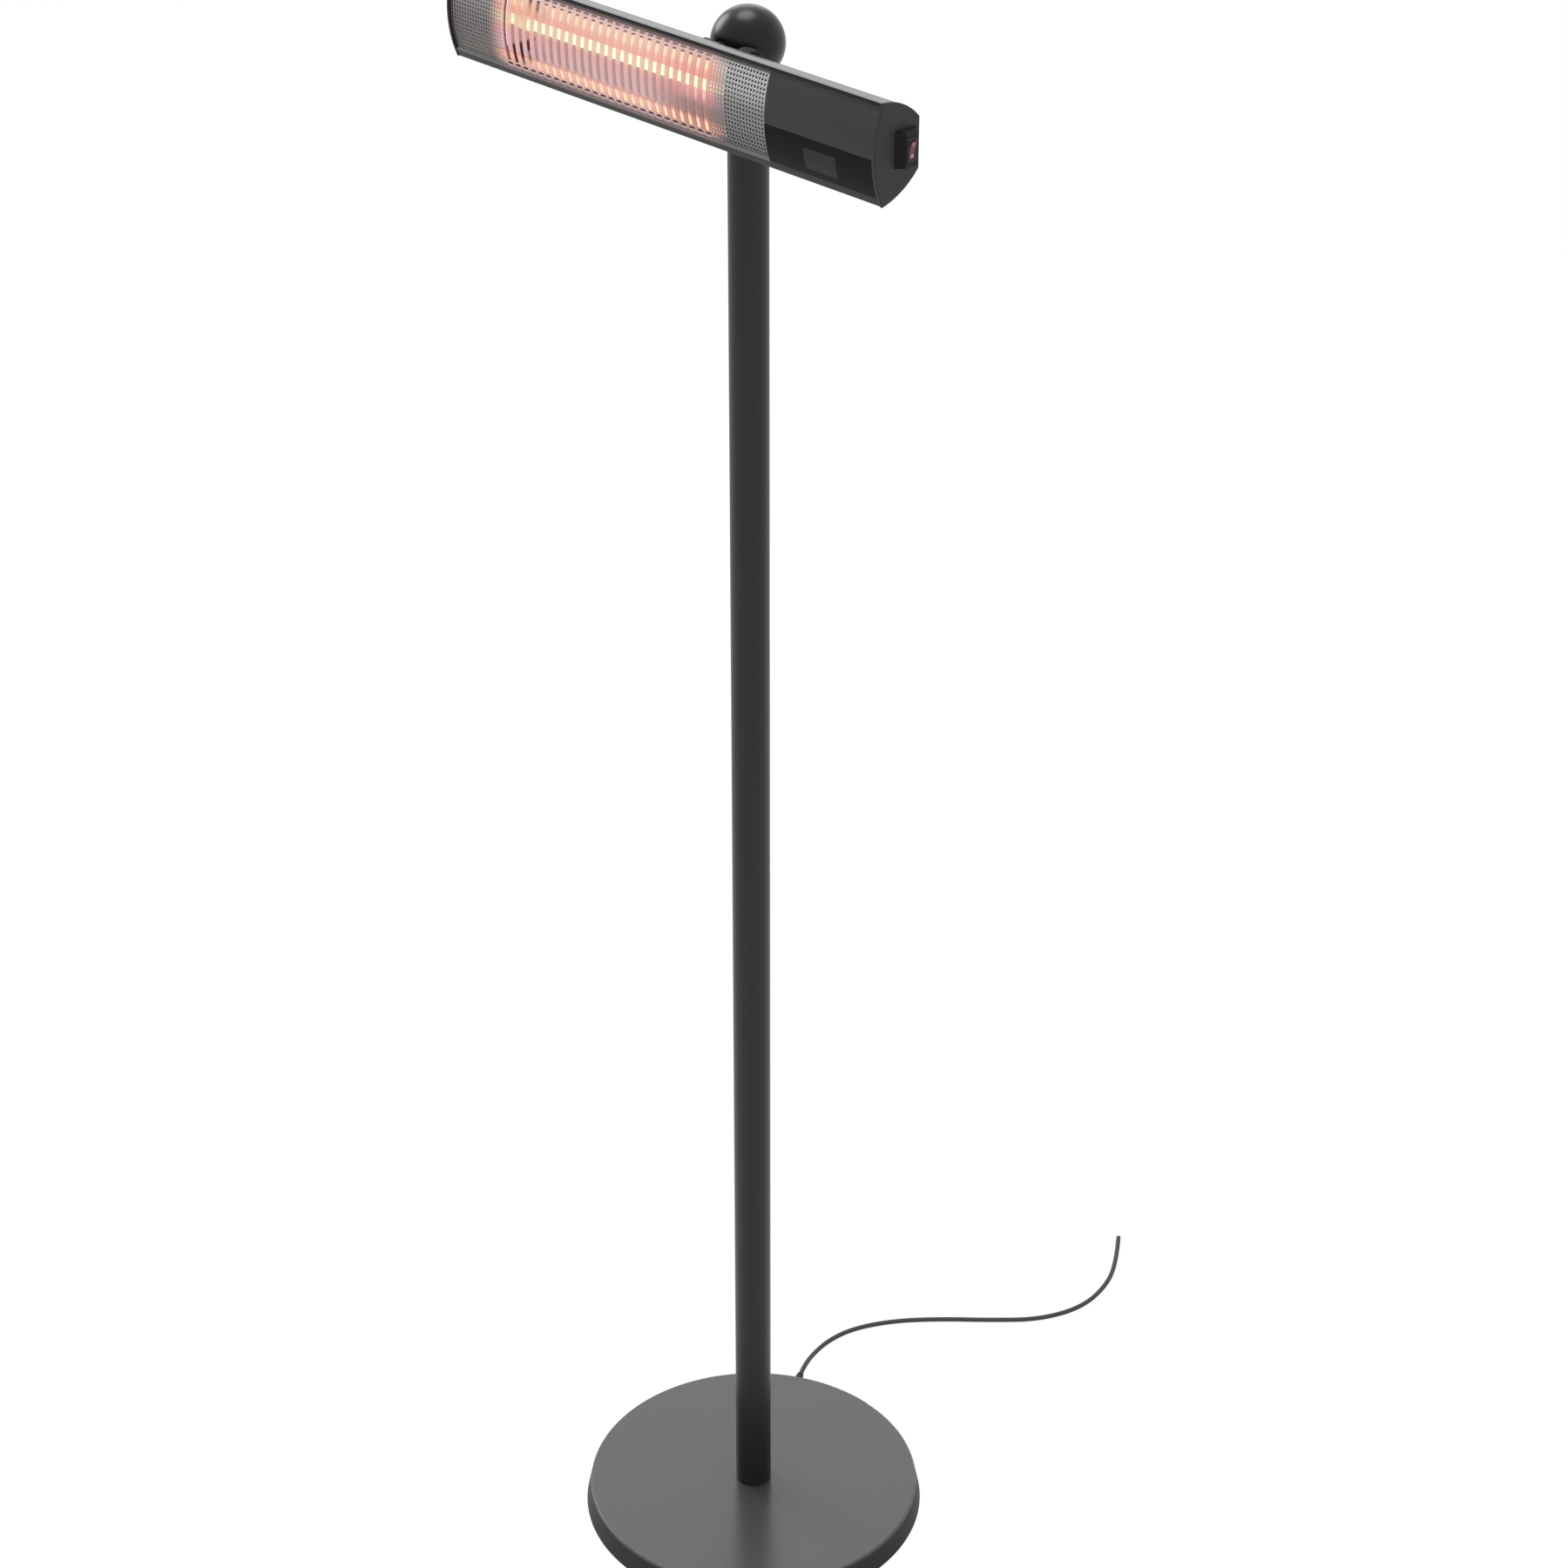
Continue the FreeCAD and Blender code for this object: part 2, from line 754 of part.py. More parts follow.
def head_block(x_from, x_to, low_depth, top_depth, low_h, top_h):
    """Box given along the head, by depth ahead of the back and by height."""
    return block(vec(x_from, -head_back_y - top_depth, head_z + low_h),
                 vec(x_to, -head_back_y - low_depth, head_z + top_h))


def head_rod(diameter, x_from, x_to, depth, height):
    """Round bar along the head."""
    place = section_point(depth, height)
    return rod(diameter, vec(x_from, place.y, place.z), vec(x_to, place.y, place.z))


PORTS = [(back_port_depth, back_port_low_h), (back_port_depth, back_port_top_h),
         (front_port_depth, -front_port_h), (front_port_depth, front_port_h)]


def cap_screw(side, port, gap=0):
    place = section_point(*port)
    head_at = vec(side * cap_out_x, place.y, place.z)
    return flat_screw(head_at, X_DIR * -side, cap_screw_head_d, cap_screw_head_h, cap_screw_d,
                      cap_screw_len, gap)


def all_cap_screws(gap=0):
    return [cap_screw(side, port, gap) for side in (-1, 1) for port in PORTS]


def cap_screws():
    return Part.makeCompound(all_cap_screws())


def housing():
    """Drawn channel with an open front between two lips, and screw ports in its corners."""
    outer = along(section_face(), -housing_x, housing_x)
    hollow = along(section_face(housing_wall), -housing_x - overrun, housing_x + overrun)
    window = head_block(-housing_x - overrun, housing_x + overrun, section_chord_depth,
                        section_chord_depth + section_bulge + overrun, lip_low_h, lip_top_h)
    channel = cut_all(outer, [hollow, window])
    ports = [head_rod(port_d, -housing_x, housing_x, *port).common(outer) for port in PORTS]
    channel = channel.fuse(ports).removeSplitter()
    return cut_all(channel, all_cap_screws(slide_gap) + bracket_screw_holes())


def cap_gaskets():
    face = section_face(touch_gap).cut(section_face(gasket_w))
    rings = [along(face, -cap_in_x, -housing_x), along(face, housing_x, cap_in_x)]
    return Part.makeCompound([cut_all(ring, all_cap_screws(slide_gap)) for ring in rings])


def end_cap(side):
    """Cap with a rounded outer edge, a little proud of the housing, and countersunk screw holes."""
    low_x, top_x = sorted((side * cap_in_x, side * cap_out_x))
    cap = along(section_face(-cap_proud), low_x, top_x)
    rim = [edge for edge in cap.Edges if side * edge.CenterOfMass.x > cap_out_x - cap_t / 4]
    cap = cap.makeFillet(cap_edge_r, rim)
    return cut_all(cap, [cap_screw(side, port, slide_gap) for port in PORTS])


def left_end_cap():
    return end_cap(-1)


def boss_frame(x, width, length):
    """Rectangle across the head's axis, centred on the switch."""
    corners = [vec(x, -boss_y + y * width / 2, boss_z + z * length / 2)
               for y, z in ((-1, -1), (1, -1), (1, 1), (-1, 1))]
    return Part.makePolygon(corners + corners[:1])


def switch_block(x_from, x_to, width, length):
    return block(vec(x_from, -boss_y - width / 2, boss_z - length / 2),
                 vec(x_to, -boss_y + width / 2, boss_z + length / 2))


SLEEVE_W = rocker_w + 2 * (swing_gap + bezel_wall)
SLEEVE_LEN = rocker_len + 2 * (swing_gap + bezel_wall)


def switch_opening():
    """Space of the switch through the right end cap and its boss."""
    return switch_block(cap_in_x - overrun, boss_out_x + overrun, SLEEVE_W + 2 * touch_gap,
                        SLEEVE_LEN + 2 * touch_gap)


def right_end_cap():
    return end_cap(1).cut(switch_opening())


def switch_boss():
    """Raised, bevelled boss on the right end cap, bored for the switch."""
    boss = Part.makeLoft([boss_frame(cap_out_x, boss_base_w, boss_base_len),
                          boss_frame(boss_out_x, boss_top_w, boss_top_len)], True, True)
    return boss.cut(switch_opening())


# Front of the head

def plain_strip(x_from, x_to):
    """Strip of the grille's curved sheet, tucked behind both lips."""
    return front_band(sheet_r, grille_t, lip_low_h - grille_tuck, lip_top_h + grille_tuck, x_from, x_to)


def punched_strip(x_from, x_to, hole_w, spans):
    """The same with a column of holes along its middle, each from one height to another."""
    left = (x_from + x_to - hole_w) / 2
    holes = [head_block(left, left + hole_w, section_chord_depth / 2, section_chord_depth + section_bulge,
                        low_h, top_h) for low_h, top_h in spans]
    return cut_all(plain_strip(x_from, x_to), holes)


def slotted_zone():
    """Strips with the upright slots that stand before the lamp."""
    pitch = (slot_zone_right_x - slot_zone_left_x) / slot_count
    places = [slot_zone_left_x + pitch * index for index in range(slot_count)]
    span = [(slot_low_h, slot_top_h)]
    return [punched_strip(x, x + pitch, pitch * slot_width_share, span) for x in places]


def mesh_zone(zone_from, zone_to):
    """Strips with square mesh, between two plain margins."""
    columns = int((zone_to - zone_from - 2 * mesh_margin) / mesh_pitch)
    rows = int((mesh_top_h - mesh_low_h) / mesh_pitch)
    first_h = (mesh_low_h + mesh_top_h - rows * mesh_pitch + mesh_pitch - mesh_hole) / 2
    margin = (zone_to - zone_from - columns * mesh_pitch) / 2
    low_h = [first_h + mesh_pitch * row for row in range(rows)]
    spans = [(low, low + mesh_hole) for low in low_h]
    strips = [plain_strip(zone_from, zone_from + margin), plain_strip(zone_to - margin, zone_to)]
    for column in range(columns):
        x = zone_from + margin + mesh_pitch * column
        strips.append(punched_strip(x, x + mesh_pitch, mesh_hole, spans))
    return strips


def grille():
    """Curved punched sheet, made strip by strip: slots in its middle, mesh on both sides of them."""
    strips = mesh_zone(-housing_x, slot_zone_left_x) + slotted_zone()
    strips += mesh_zone(slot_zone_right_x, grille_right_x)
    return strips[0].fuse(strips[1:])


def lens_zone(gap):
    """Space of the receiver window, grown by a gap, through the control end's front."""
    return head_block(lens_left_x - gap, lens_right_x + gap, section_chord_depth / 2,
                      section_chord_depth + section_bulge + overrun, lens_low_h - gap, lens_top_h + gap)


def control_cover():
    """Closed front of the control end: tucked behind the lips, flush between them, with a panel rebate."""
    tucked = front_band(sheet_r, cover_t, lip_low_h - grille_tuck, lip_top_h + grille_tuck,
                        cover_left_x, housing_x)
    pad_t = front_r - sheet_r + cover_t / 2
    pad = front_band(front_r, pad_t, pad_low_h, pad_top_h, cover_left_x, housing_x)
    rebate = front_band(front_r + overrun, overrun + panel_t + touch_gap, pad_low_h - overrun,
                        panel_top_h + touch_gap, cover_left_x - overrun, panel_right_x + touch_gap)
    cover = tucked.fuse(pad.cut(rebate)).removeSplitter()
    return cover.cut(lens_zone(-lens_ledge))


def control_panel():
    """Glossy lower panel in the cover's rebate, with a window for the receiver lens."""
    panel = front_band(front_r, panel_t, pad_low_h, panel_top_h, cover_left_x, panel_right_x)
    return panel.cut(lens_zone(touch_gap))


def receiver_lens():
    return front_band(front_r, panel_t, lens_low_h, lens_top_h, lens_left_x, lens_right_x)


# Control end, inside

def control_board():
    return head_block(board_left_x, board_right_x, board_depth, board_depth + board_t,
                      -board_half_h, board_half_h)


def board_standoffs():
    posts = []
    for x in (board_left_x + standoff_inset, board_right_x - standoff_inset):
        for side in (-1, 1):
            foot = section_point(housing_wall, side * standoff_h)
            top = section_point(board_depth, side * standoff_h)
            posts.append(rod(standoff_d, vec(x, foot.y, foot.z), vec(x, top.y, top.z)))
    return Part.makeCompound(posts)


def power_relay():
    return head_block(relay_x, relay_x + relay_len, board_depth - relay_depth, board_depth,
                      -relay_half_h, relay_half_h)


def ir_receiver():
    """Small domed receiver on the board behind its window."""
    x = (lens_left_x + lens_right_x) / 2
    height = (lens_low_h + lens_top_h) / 2
    foot = section_point(board_depth + board_t, height)
    reach = front_depth(sheet_r - cover_t, height) - board_depth - board_t - receiver_d
    body = rod(receiver_d, vec(x, foot.y, foot.z), vec(x, foot.y - reach, foot.z))
    dome = Part.makeSphere(receiver_d / 2, vec(x, foot.y - reach, foot.z))
    return body.fuse(dome).removeSplitter()


def terminal_block():
    """Screw terminals on the housing's back, one bore per way."""
    body = head_block(terminal_x, terminal_x + terminal_len, housing_wall, housing_wall + terminal_depth,
                      -terminal_half_h, terminal_half_h)
    pitch = terminal_len / terminal_ways
    bores = []
    for way in range(terminal_ways):
        start = section_point(housing_wall + terminal_depth / 2, -terminal_half_h - overrun)
        start.x = terminal_x + pitch * way + pitch / 2
        bores.append(rod(terminal_bore_d, start, start + Z_DIR * 2 * (terminal_half_h + overrun)))
    return cut_all(body, bores)


# Lamp

def bulkhead(x_from):
    """Plate across the housing beside the lamp, with holes for the lamp's end and the lead."""
    plate = along(section_face(housing_wall + bulkhead_gap), x_from, x_from + bulkhead_t)
    reach = (x_from - overrun, x_from + bulkhead_t + overrun)
    inside = head_rod(2 * (sheet_r - grille_t - bulkhead_gap), *reach, front_centre_depth, 0)
    tools = [head_rod(port_d + 2 * bulkhead_gap, *reach, *port) for port in PORTS]
    tools.append(head_rod(ceramic_d + 2 * slide_gap, *reach, lamp_depth, 0))
    tools.append(head_rod(lead_d + 2 * slide_gap, *reach, lead_depth, 0))
    return cut_all(plate.common(inside), tools)


def left_bulkhead():
    return bulkhead(bulkhead_left_x - bulkhead_t)


def right_bulkhead():
    return bulkhead(bulkhead_right_x)


def reflector():
    """Bright trough behind the lamp, between the two bulkheads."""
    def trough_point(radius, angle):
        return section_point(reflector_centre_depth - radius * math.cos(angle), radius * math.sin(angle))
    half_angle = math.atan2(reflector_edge_h, reflector_centre_depth - reflector_edge_depth)
    inner_r = reflector_r - reflector_t
    back = [trough_point(reflector_r, angle) for angle in (-half_angle, 0, half_angle)]
    front = [trough_point(inner_r, angle) for angle in (half_angle, 0, -half_angle)]
    edges = [
        Part.Arc(*back),
        Part.LineSegment(back[-1], front[0]),
        Part.Arc(*front),
        Part.LineSegment(front[-1], back[0]),
    ]
    face = Part.Face(Part.Wire([edge.toShape() for edge in edges]))
    return along(face, bulkhead_left_x, bulkhead_right_x)


SOCKET_LEFT_X = bulkhead_left_x + ceramic_inside - ceramic_socket
SOCKET_RIGHT_X = bulkhead_right_x - ceramic_inside + ceramic_socket
CERAMIC_LEFT_X = bulkhead_left_x - ceramic_outside
CERAMIC_RIGHT_X = bulkhead_right_x + ceramic_outside


def quartz_tube():
    tube = head_rod(quartz_d, SOCKET_LEFT_X, SOCKET_RIGHT_X, lamp_depth, 0)
    return tube.cut(head_rod(quartz_d - 2 * quartz_wall, SOCKET_LEFT_X, SOCKET_RIGHT_X, lamp_depth, 0))


def heating_filament():
    return head_rod(filament_d, SOCKET_LEFT_X, SOCKET_RIGHT_X, lamp_depth, 0)


def lamp_ceramics():
    """Ceramic ends of the lamp, each with a blind socket for the tube."""
    left = head_rod(ceramic_d, CERAMIC_LEFT_X, bulkhead_left_x + ceramic_inside, lamp_depth, 0)
    right = head_rod(ceramic_d, bulkhead_right_x - ceramic_inside, CERAMIC_RIGHT_X, lamp_depth, 0)
    socket = head_rod(quartz_d + 2 * slide_gap, SOCKET_LEFT_X, SOCKET_RIGHT_X, lamp_depth, 0)
    return Part.makeCompound([left.cut(socket), right.cut(socket)])


def lamp_clips():
    """Square plates that hold the ceramics, one on the outer side of each bulkhead."""
    clips = []
    for x_from in (bulkhead_left_x - bulkhead_t - clip_t, bulkhead_right_x + bulkhead_t):
        plate = head_block(x_from, x_from + clip_t, lamp_depth - clip_side / 2, lamp_depth + clip_side / 2,
                           -clip_side / 2, clip_side / 2)
        clips.append(plate.cut(head_rod(ceramic_d + 2 * slide_gap, x_from, x_from + clip_t, lamp_depth, 0)))
    return Part.makeCompound(clips)


def lead_point(x, depth):
    place = section_point(depth, 0)
    return vec(x, place.y, place.z)


def lamp_leads():
    """Two leads from the lamp's ends to the terminal block, the longer one behind the reflector."""
    block_end = terminal_x + terminal_len
    runs = ((CERAMIC_LEFT_X, CERAMIC_LEFT_X - lead_stub, terminal_x),
            (CERAMIC_RIGHT_X, block_end + lead_stub, block_end))
    leads = []
    for start_x, turn_x, end_x in runs:
        points = [lead_point(start_x, lamp_depth), lead_point(turn_x, lamp_depth),
                  lead_point(turn_x, lead_depth), lead_point(end_x, lead_depth)]
        leads.append(cable("lamp lead", points, lead_d, lead_bend_r))
    return Part.makeCompound(leads)


# Switch

def switch_bezel():
    """Thin frame on the boss with a sleeve that the rocker swings in."""
    frame = switch_block(boss_out_x, boss_out_x + bezel_t, bezel_w, bezel_len)
    sleeve = switch_block(boss_out_x - bezel_depth, boss_out_x + bezel_t, SLEEVE_W, SLEEVE_LEN)
    opening = switch_block(boss_out_x - bezel_depth - overrun, boss_out_x + bezel_t + overrun,
                           rocker_w + 2 * swing_gap, rocker_len + 2 * swing_gap)
    return frame.fuse(sleeve).removeSplitter().cut(opening).cut(rocker_pin_rod(slide_gap))


def switch_body():
    front_x = boss_out_x - bezel_depth
    return switch_block(front_x - switch_body_len, front_x, SLEEVE_W, SLEEVE_LEN)


def rocker_pin_rod(gap=0):
    half = rocker_w / 2 + swing_gap + bezel_wall
    return rod(rocker_pin_d + 2 * gap, vec(rocker_pivot_x, -boss_y - half, boss_z),
               vec(rocker_pivot_x, -boss_y + half, boss_z))


def rocker_pin():
    return rocker_pin_rod()


def power_rocker():
    """Rocker with a shallow dip across its face, stored with its lower end pressed in."""
    half = rocker_len / 2
    outline = ((rocker_crown, half), (rocker_crown - rocker_dip, 0), (rocker_crown, -half),
               (0, -half), (-rocker_depth, 0), (0, half))
    corners = [vec(rocker_pivot_x + x, -boss_y - rocker_w / 2, boss_z + z) for x, z in outline]
    body = Part.Face(Part.makePolygon(corners + corners[:1])).extrude(Y_DIR * rocker_w)
    body = body.rotated(vec(rocker_pivot_x, -boss_y, boss_z), Y_DIR, rocker_rest_tilt)
    return body.cut(rocker_pin_rod(slide_gap))


PIECES = (
    floor_mat, base_floor, floor_screws, base_ballast, flange_screws, pole_spigot, base_shell, cord_gland,
    supply_cable, power_cord, pole_tube, pole_set_screws, pole_plug, thrust_washer,
    swivel_ball, swivel_screw, tilt_arm,
    tilt_bracket, bracket_screws, friction_washers, hinge_bolt, knob_washer, tilt_knob,
    housing, cap_gaskets, left_end_cap, right_end_cap, switch_boss, cap_screws,
    grille, control_cover, control_panel, receiver_lens,
    control_board, board_standoffs, power_relay, ir_receiver, terminal_block,
    left_bulkhead, right_bulkhead, reflector, quartz_tube, heating_filament, lamp_ceramics, lamp_clips,
    lamp_leads,
    switch_bezel, switch_body, rocker_pin, power_rocker,
)

os.makedirs("parts", exist_ok=True)
for piece in PIECES:
    shape = piece()
    print(piece.__name__, len(shape.Solids), "solids, valid", shape.isValid(), "%.0f mm3" % shape.Volume)
    shape.exportStep("parts/" + piece.__name__ + ".step")
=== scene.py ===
# %% [markdown]
# A free-standing electric patio heater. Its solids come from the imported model, which is loaded as
# a fixed frame: nothing in it is moved. This lesson adds what solids alone do not give, which is
# the finish of each surface, the fine punched grille, the glowing lamp and the marks on the
# switch.

# %% Load the frame
import math

import bmesh
import bpy
from mathutils import Matrix, Vector


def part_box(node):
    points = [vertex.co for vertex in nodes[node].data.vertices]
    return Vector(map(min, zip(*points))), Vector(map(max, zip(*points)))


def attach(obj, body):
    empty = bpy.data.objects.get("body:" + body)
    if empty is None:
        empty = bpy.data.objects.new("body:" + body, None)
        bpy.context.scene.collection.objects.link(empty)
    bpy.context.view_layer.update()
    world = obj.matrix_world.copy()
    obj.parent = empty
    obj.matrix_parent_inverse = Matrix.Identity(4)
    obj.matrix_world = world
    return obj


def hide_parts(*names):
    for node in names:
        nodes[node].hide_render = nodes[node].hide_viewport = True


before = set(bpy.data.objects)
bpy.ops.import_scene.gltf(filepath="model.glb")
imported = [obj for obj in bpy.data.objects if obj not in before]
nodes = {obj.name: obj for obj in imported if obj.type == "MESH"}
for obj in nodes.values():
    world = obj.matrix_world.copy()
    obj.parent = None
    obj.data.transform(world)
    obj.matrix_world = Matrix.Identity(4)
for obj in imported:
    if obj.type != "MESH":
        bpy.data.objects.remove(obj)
scene = bpy.context.scene
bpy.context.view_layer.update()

# %% [markdown]
# The camera stands to the right of the heater, about as high as one and a half heaters, and looks
# down at it through a long lens. Its place was worked out from the pole's edges, both rims of the
# base and the ends of the head, with the base's diameter as the measure.

# %% Camera
photo_side = 1800
focal_pixels = 4146.3
sensor_width = 36.0
far_limit = 60.0
camera_distance = 3.7910
camera_height = 3.2329
camera_azimuth = 0.81862
camera_pitch = 0.51238
camera_yaw = 0.010536
camera_roll = 0.001168


def add_object(name, data):
    """Puts new data into the scene as an object."""
    made = bpy.data.objects.new(name, data)
    scene.collection.objects.link(made)
    return made


camera = add_object("camera", bpy.data.cameras.new("camera"))
scene.camera = camera
camera.data.sensor_width = sensor_width
camera.data.lens = focal_pixels / photo_side * sensor_width
camera.data.clip_end = far_limit
camera_place = Vector((math.sin(camera_azimuth) * camera_distance,
                       -math.cos(camera_azimuth) * camera_distance, camera_height))
turn = Matrix.Rotation(camera_azimuth - camera_yaw, 4, "Z")
turn = turn @ Matrix.Rotation(math.pi / 2 - camera_pitch, 4, "X")
turn = turn @ Matrix.Rotation(camera_roll, 4, "Z")
camera.matrix_world = Matrix.Translation(camera_place) @ turn
print("camera at", [round(v, 3) for v in camera_place], "lens", round(camera.data.lens, 2))

# %% [markdown]
# The mains cord leaves the base through a tapered boot, drops to the floor and lies there in one
# long S up to its bare end. It could be a mesh tube, but a curve with a round bevel stays smooth
# at any size, and its control points are the corners of the route that the solid cord follows. The
# bevel's own radius is one, and each point scales it down to the cord's: Blender adds the radius
# of the points to a curve's box, so only then is that box the true one.

# %% Cord
cord_diameter = 0.0066
cord_exit = (-0.127114, 0.209886, 0.0125)
cord_route = (
    cord_exit,
    (-0.137474, 0.226993, 0.0125),
    (-0.154, 0.262, 0.0065),
    (-0.1635, 0.302, 0.0033),
    (-0.1585, 0.346, 0.0033),
    (-0.1315, 0.400, 0.0033),
    (-0.088, 0.452, 0.0033),
    (-0.034, 0.505, 0.0033),
    (0.012, 0.556, 0.0033),
    (0.0355, 0.622, 0.0033),
    (0.0235, 0.690, 0.0033),
    (-0.007, 0.743, 0.0033),
    (-0.0415, 0.786, 0.0033),
)


def round_curve(name, kind, places, thickness, section_steps):
    """Curve of one spline with a round section."""
    data = bpy.data.curves.new(name, "CURVE")
    data.dimensions = "3D"
    data.bevel_depth = 1.0
    data.bevel_resolution = section_steps
    spline = data.splines.new(kind)
    spline.points.add(len(places) - 1)
    for point, place in zip(spline.points, places):
        point.co = (*place, 1.0)
        point.radius = thickness / 2
    return add_object(name, data)


cord = round_curve("cord", "NURBS", cord_route, cord_diameter, section_steps=5)
cord.data.resolution_u = 10
cord.data.use_fill_caps = True
cord.data.splines[0].order_u = 3
cord.data.splines[0].use_endpoint_u = True
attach(cord, "stand")
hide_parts("power_cord")
print("cord of", len(cord_route), "points")

# %% [markdown]
# A finish is a node tree. Written as plain wiring it is long and hard to read, so two small
# classes turn it into arithmetic: a value wraps one socket, and adding or multiplying values adds
# the nodes that do so. The finish itself makes every other node and feeds the surface shader.

# %% Shader arithmetic
class Value:
    """One socket in a node tree. Arithmetic on it adds Math nodes."""

    def __init__(self, tree, socket):
        self.tree = tree
        self.socket = socket

    def math(self, operation, first, second):
        node = self.tree.nodes.new("ShaderNodeMath")
        node.operation = operation
        for socket, given in zip(node.inputs, (first, second)):
            feed(self.tree, socket, given)
        return Value(self.tree, node.outputs[0])

    def __add__(self, other):
        return self.math("ADD", self, other)

    def __radd__(self, other):
        return self.math("ADD", other, self)

    def __sub__(self, other):
        return self.math("SUBTRACT", self, other)

    def __rsub__(self, other):
        return self.math("SUBTRACT", other, self)

    def __mul__(self, other):
        return self.math("MULTIPLY", self, other)

    def __rmul__(self, other):
        return self.math("MULTIPLY", other, self)


def feed(tree, socket, given):
    """Links a value to a socket, or sets the socket to a plain number, colour or vector."""
    if isinstance(given, Value):
        tree.links.new(given.socket, socket)
    elif isinstance(given, tuple) and len(given) == 3 and socket.type == "RGBA":
        socket.default_value = (*given, 1.0)
    else:
        socket.default_value = given


class Finish:
    """A material in the making, with one surface shader."""

    def __init__(self, name):
        self.material = bpy.data.materials.new(name)
        self.material.use_nodes = True
        self.tree = self.material.node_tree
        self.shader = self.tree.nodes["Principled BSDF"]

    def node(self, kind, settings=None, sockets=None, out=0):
        """Adds a node: its settings first, then the values or links of its sockets."""
        made = self.tree.nodes.new(kind)
        for key, given in (settings or {}).items():
            if key == "stops":
                set_stops(made.color_ramp, given)
            else:
                setattr(made, key, given)
        for key, given in (sockets or {}).items():
            feed(self.tree, made.inputs[key], given)
        return Value(self.tree, made.outputs[out])

    def surface(self, sockets):
        """Feeds sockets of the surface shader and gives back the material."""
        for key, given in sockets.items():
            feed(self.tree, self.shader.inputs[key], given)
        return self.material

    def place(self):
        """Place on the object, in metres in the shared frame."""
        return self.node("ShaderNodeTexCoord", out="Object")

    def axes(self, vector=None):
        """The three separate coordinates of a place or a direction."""
        given = vector or self.place()
        return [self.node("ShaderNodeSeparateXYZ", None, {0: given}, index) for index in range(3)]

    def noise(self, scale, detail=2.0, vector=None):
        return self.node("ShaderNodeTexNoise", None, {
            "Vector": vector or self.place(), "Scale": scale, "Detail": detail}, "Fac")

    def streaks(self, stretch, detail):
        """Noise whose scale differs by axis, which draws it out into lines."""
        drawn_out = self.node("ShaderNodeVectorMath", {"operation": "MULTIPLY"}, {
            0: self.place(), 1: stretch})
        return self.noise(1.0, detail, drawn_out)

    def spread(self, value, low, high):
        """Maps a value from 0..1 to low..high without going past them."""
        return self.node("ShaderNodeMapRange", {"clamp": True}, {
            "Value": value, "To Min": low, "To Max": high})

    def step(self, value, start, end):
        """Smooth step of a value from 0 at start to 1 at end."""
        return self.node("ShaderNodeMapRange", {"interpolation_type": "SMOOTHSTEP"}, {
            "Value": value, "From Min": start, "From Max": end})

    def mix(self, factor, first, second):
        """Blend of two colours. A Mix node keeps its colours in sockets 6 and 7 and output 2."""
        return self.node("ShaderNodeMix", {"data_type": "RGBA"}, {
            0: factor, 6: first, 7: second}, 2)

    def ramp(self, value, stops):
        """Colour that follows a value, from (value, colour) stops."""
        low, high = stops[0][0], stops[-1][0]
        share = self.node("ShaderNodeMapRange", {"clamp": True}, {
            "Value": value, "From Min": low, "From Max": high})
        places = [((place - low) / (high - low), colour) for place, colour in stops]
        return self.node("ShaderNodeValToRGB", {"stops": places}, {"Fac": share})

    def bump(self, height, distance, strength):
        return self.node("ShaderNodeBump", None, {
            "Height": height, "Distance": distance, "Strength": strength})


def set_stops(ramp, stops):
    """Gives a colour ramp its stops: a position and a colour each."""
    while len(ramp.elements) > len(stops):
        ramp.elements.remove(ramp.elements[-1])
    for index, (position, colour) in enumerate(stops):
        if index == len(ramp.elements):
            ramp.elements.new(position)
        ramp.elements[index].position = position
        ramp.elements[index].color = (*colour, 1.0)


def grey(level):
    return (level, level, level)


def dress(finish, *names):
    """Gives one finish to CAD nodes, in place of the plain one they came with."""
    for name in names:
        nodes[name].data.materials.clear()
        nodes[name].data.materials.append(finish)


white = grey(1.0)
black = grey(0.0)
print("shader classes", Value.__name__, Finish.__name__)

# %% [markdown]
# The studio is a pale floor that runs out to a white surround. To a camera or a mirror both are
# pure white; to everything else they are a plain soft light. The floor gives up a little of that
# white, so that a soft shadow stays under the base and the cord. Of the three wide lamps, the one
# above and the one on the left give the forms their light side, and a weak one high up behind the
# left draws rims on round forms.

# %% Floor, surround and lamps
floor_half = 9.0
floor_tint = grey(0.93)
floor_roughness = (0.75, 0.9)
floor_grain = 30.0
floor_white = 1.04
shadow_share = 0.12
surround_level = 0.72


def seen_rays(finish):
    """One for rays from the camera, a mirror or glass, and zero for light on other surfaces."""
    kinds = [finish.node("ShaderNodeLightPath", out=name)
             for name in ("Is Camera Ray", "Is Glossy Ray", "Is Transmission Ray")]
    return kinds[0].math("MAXIMUM", kinds[0].math("MAXIMUM", kinds[0], kinds[1]), kinds[2])


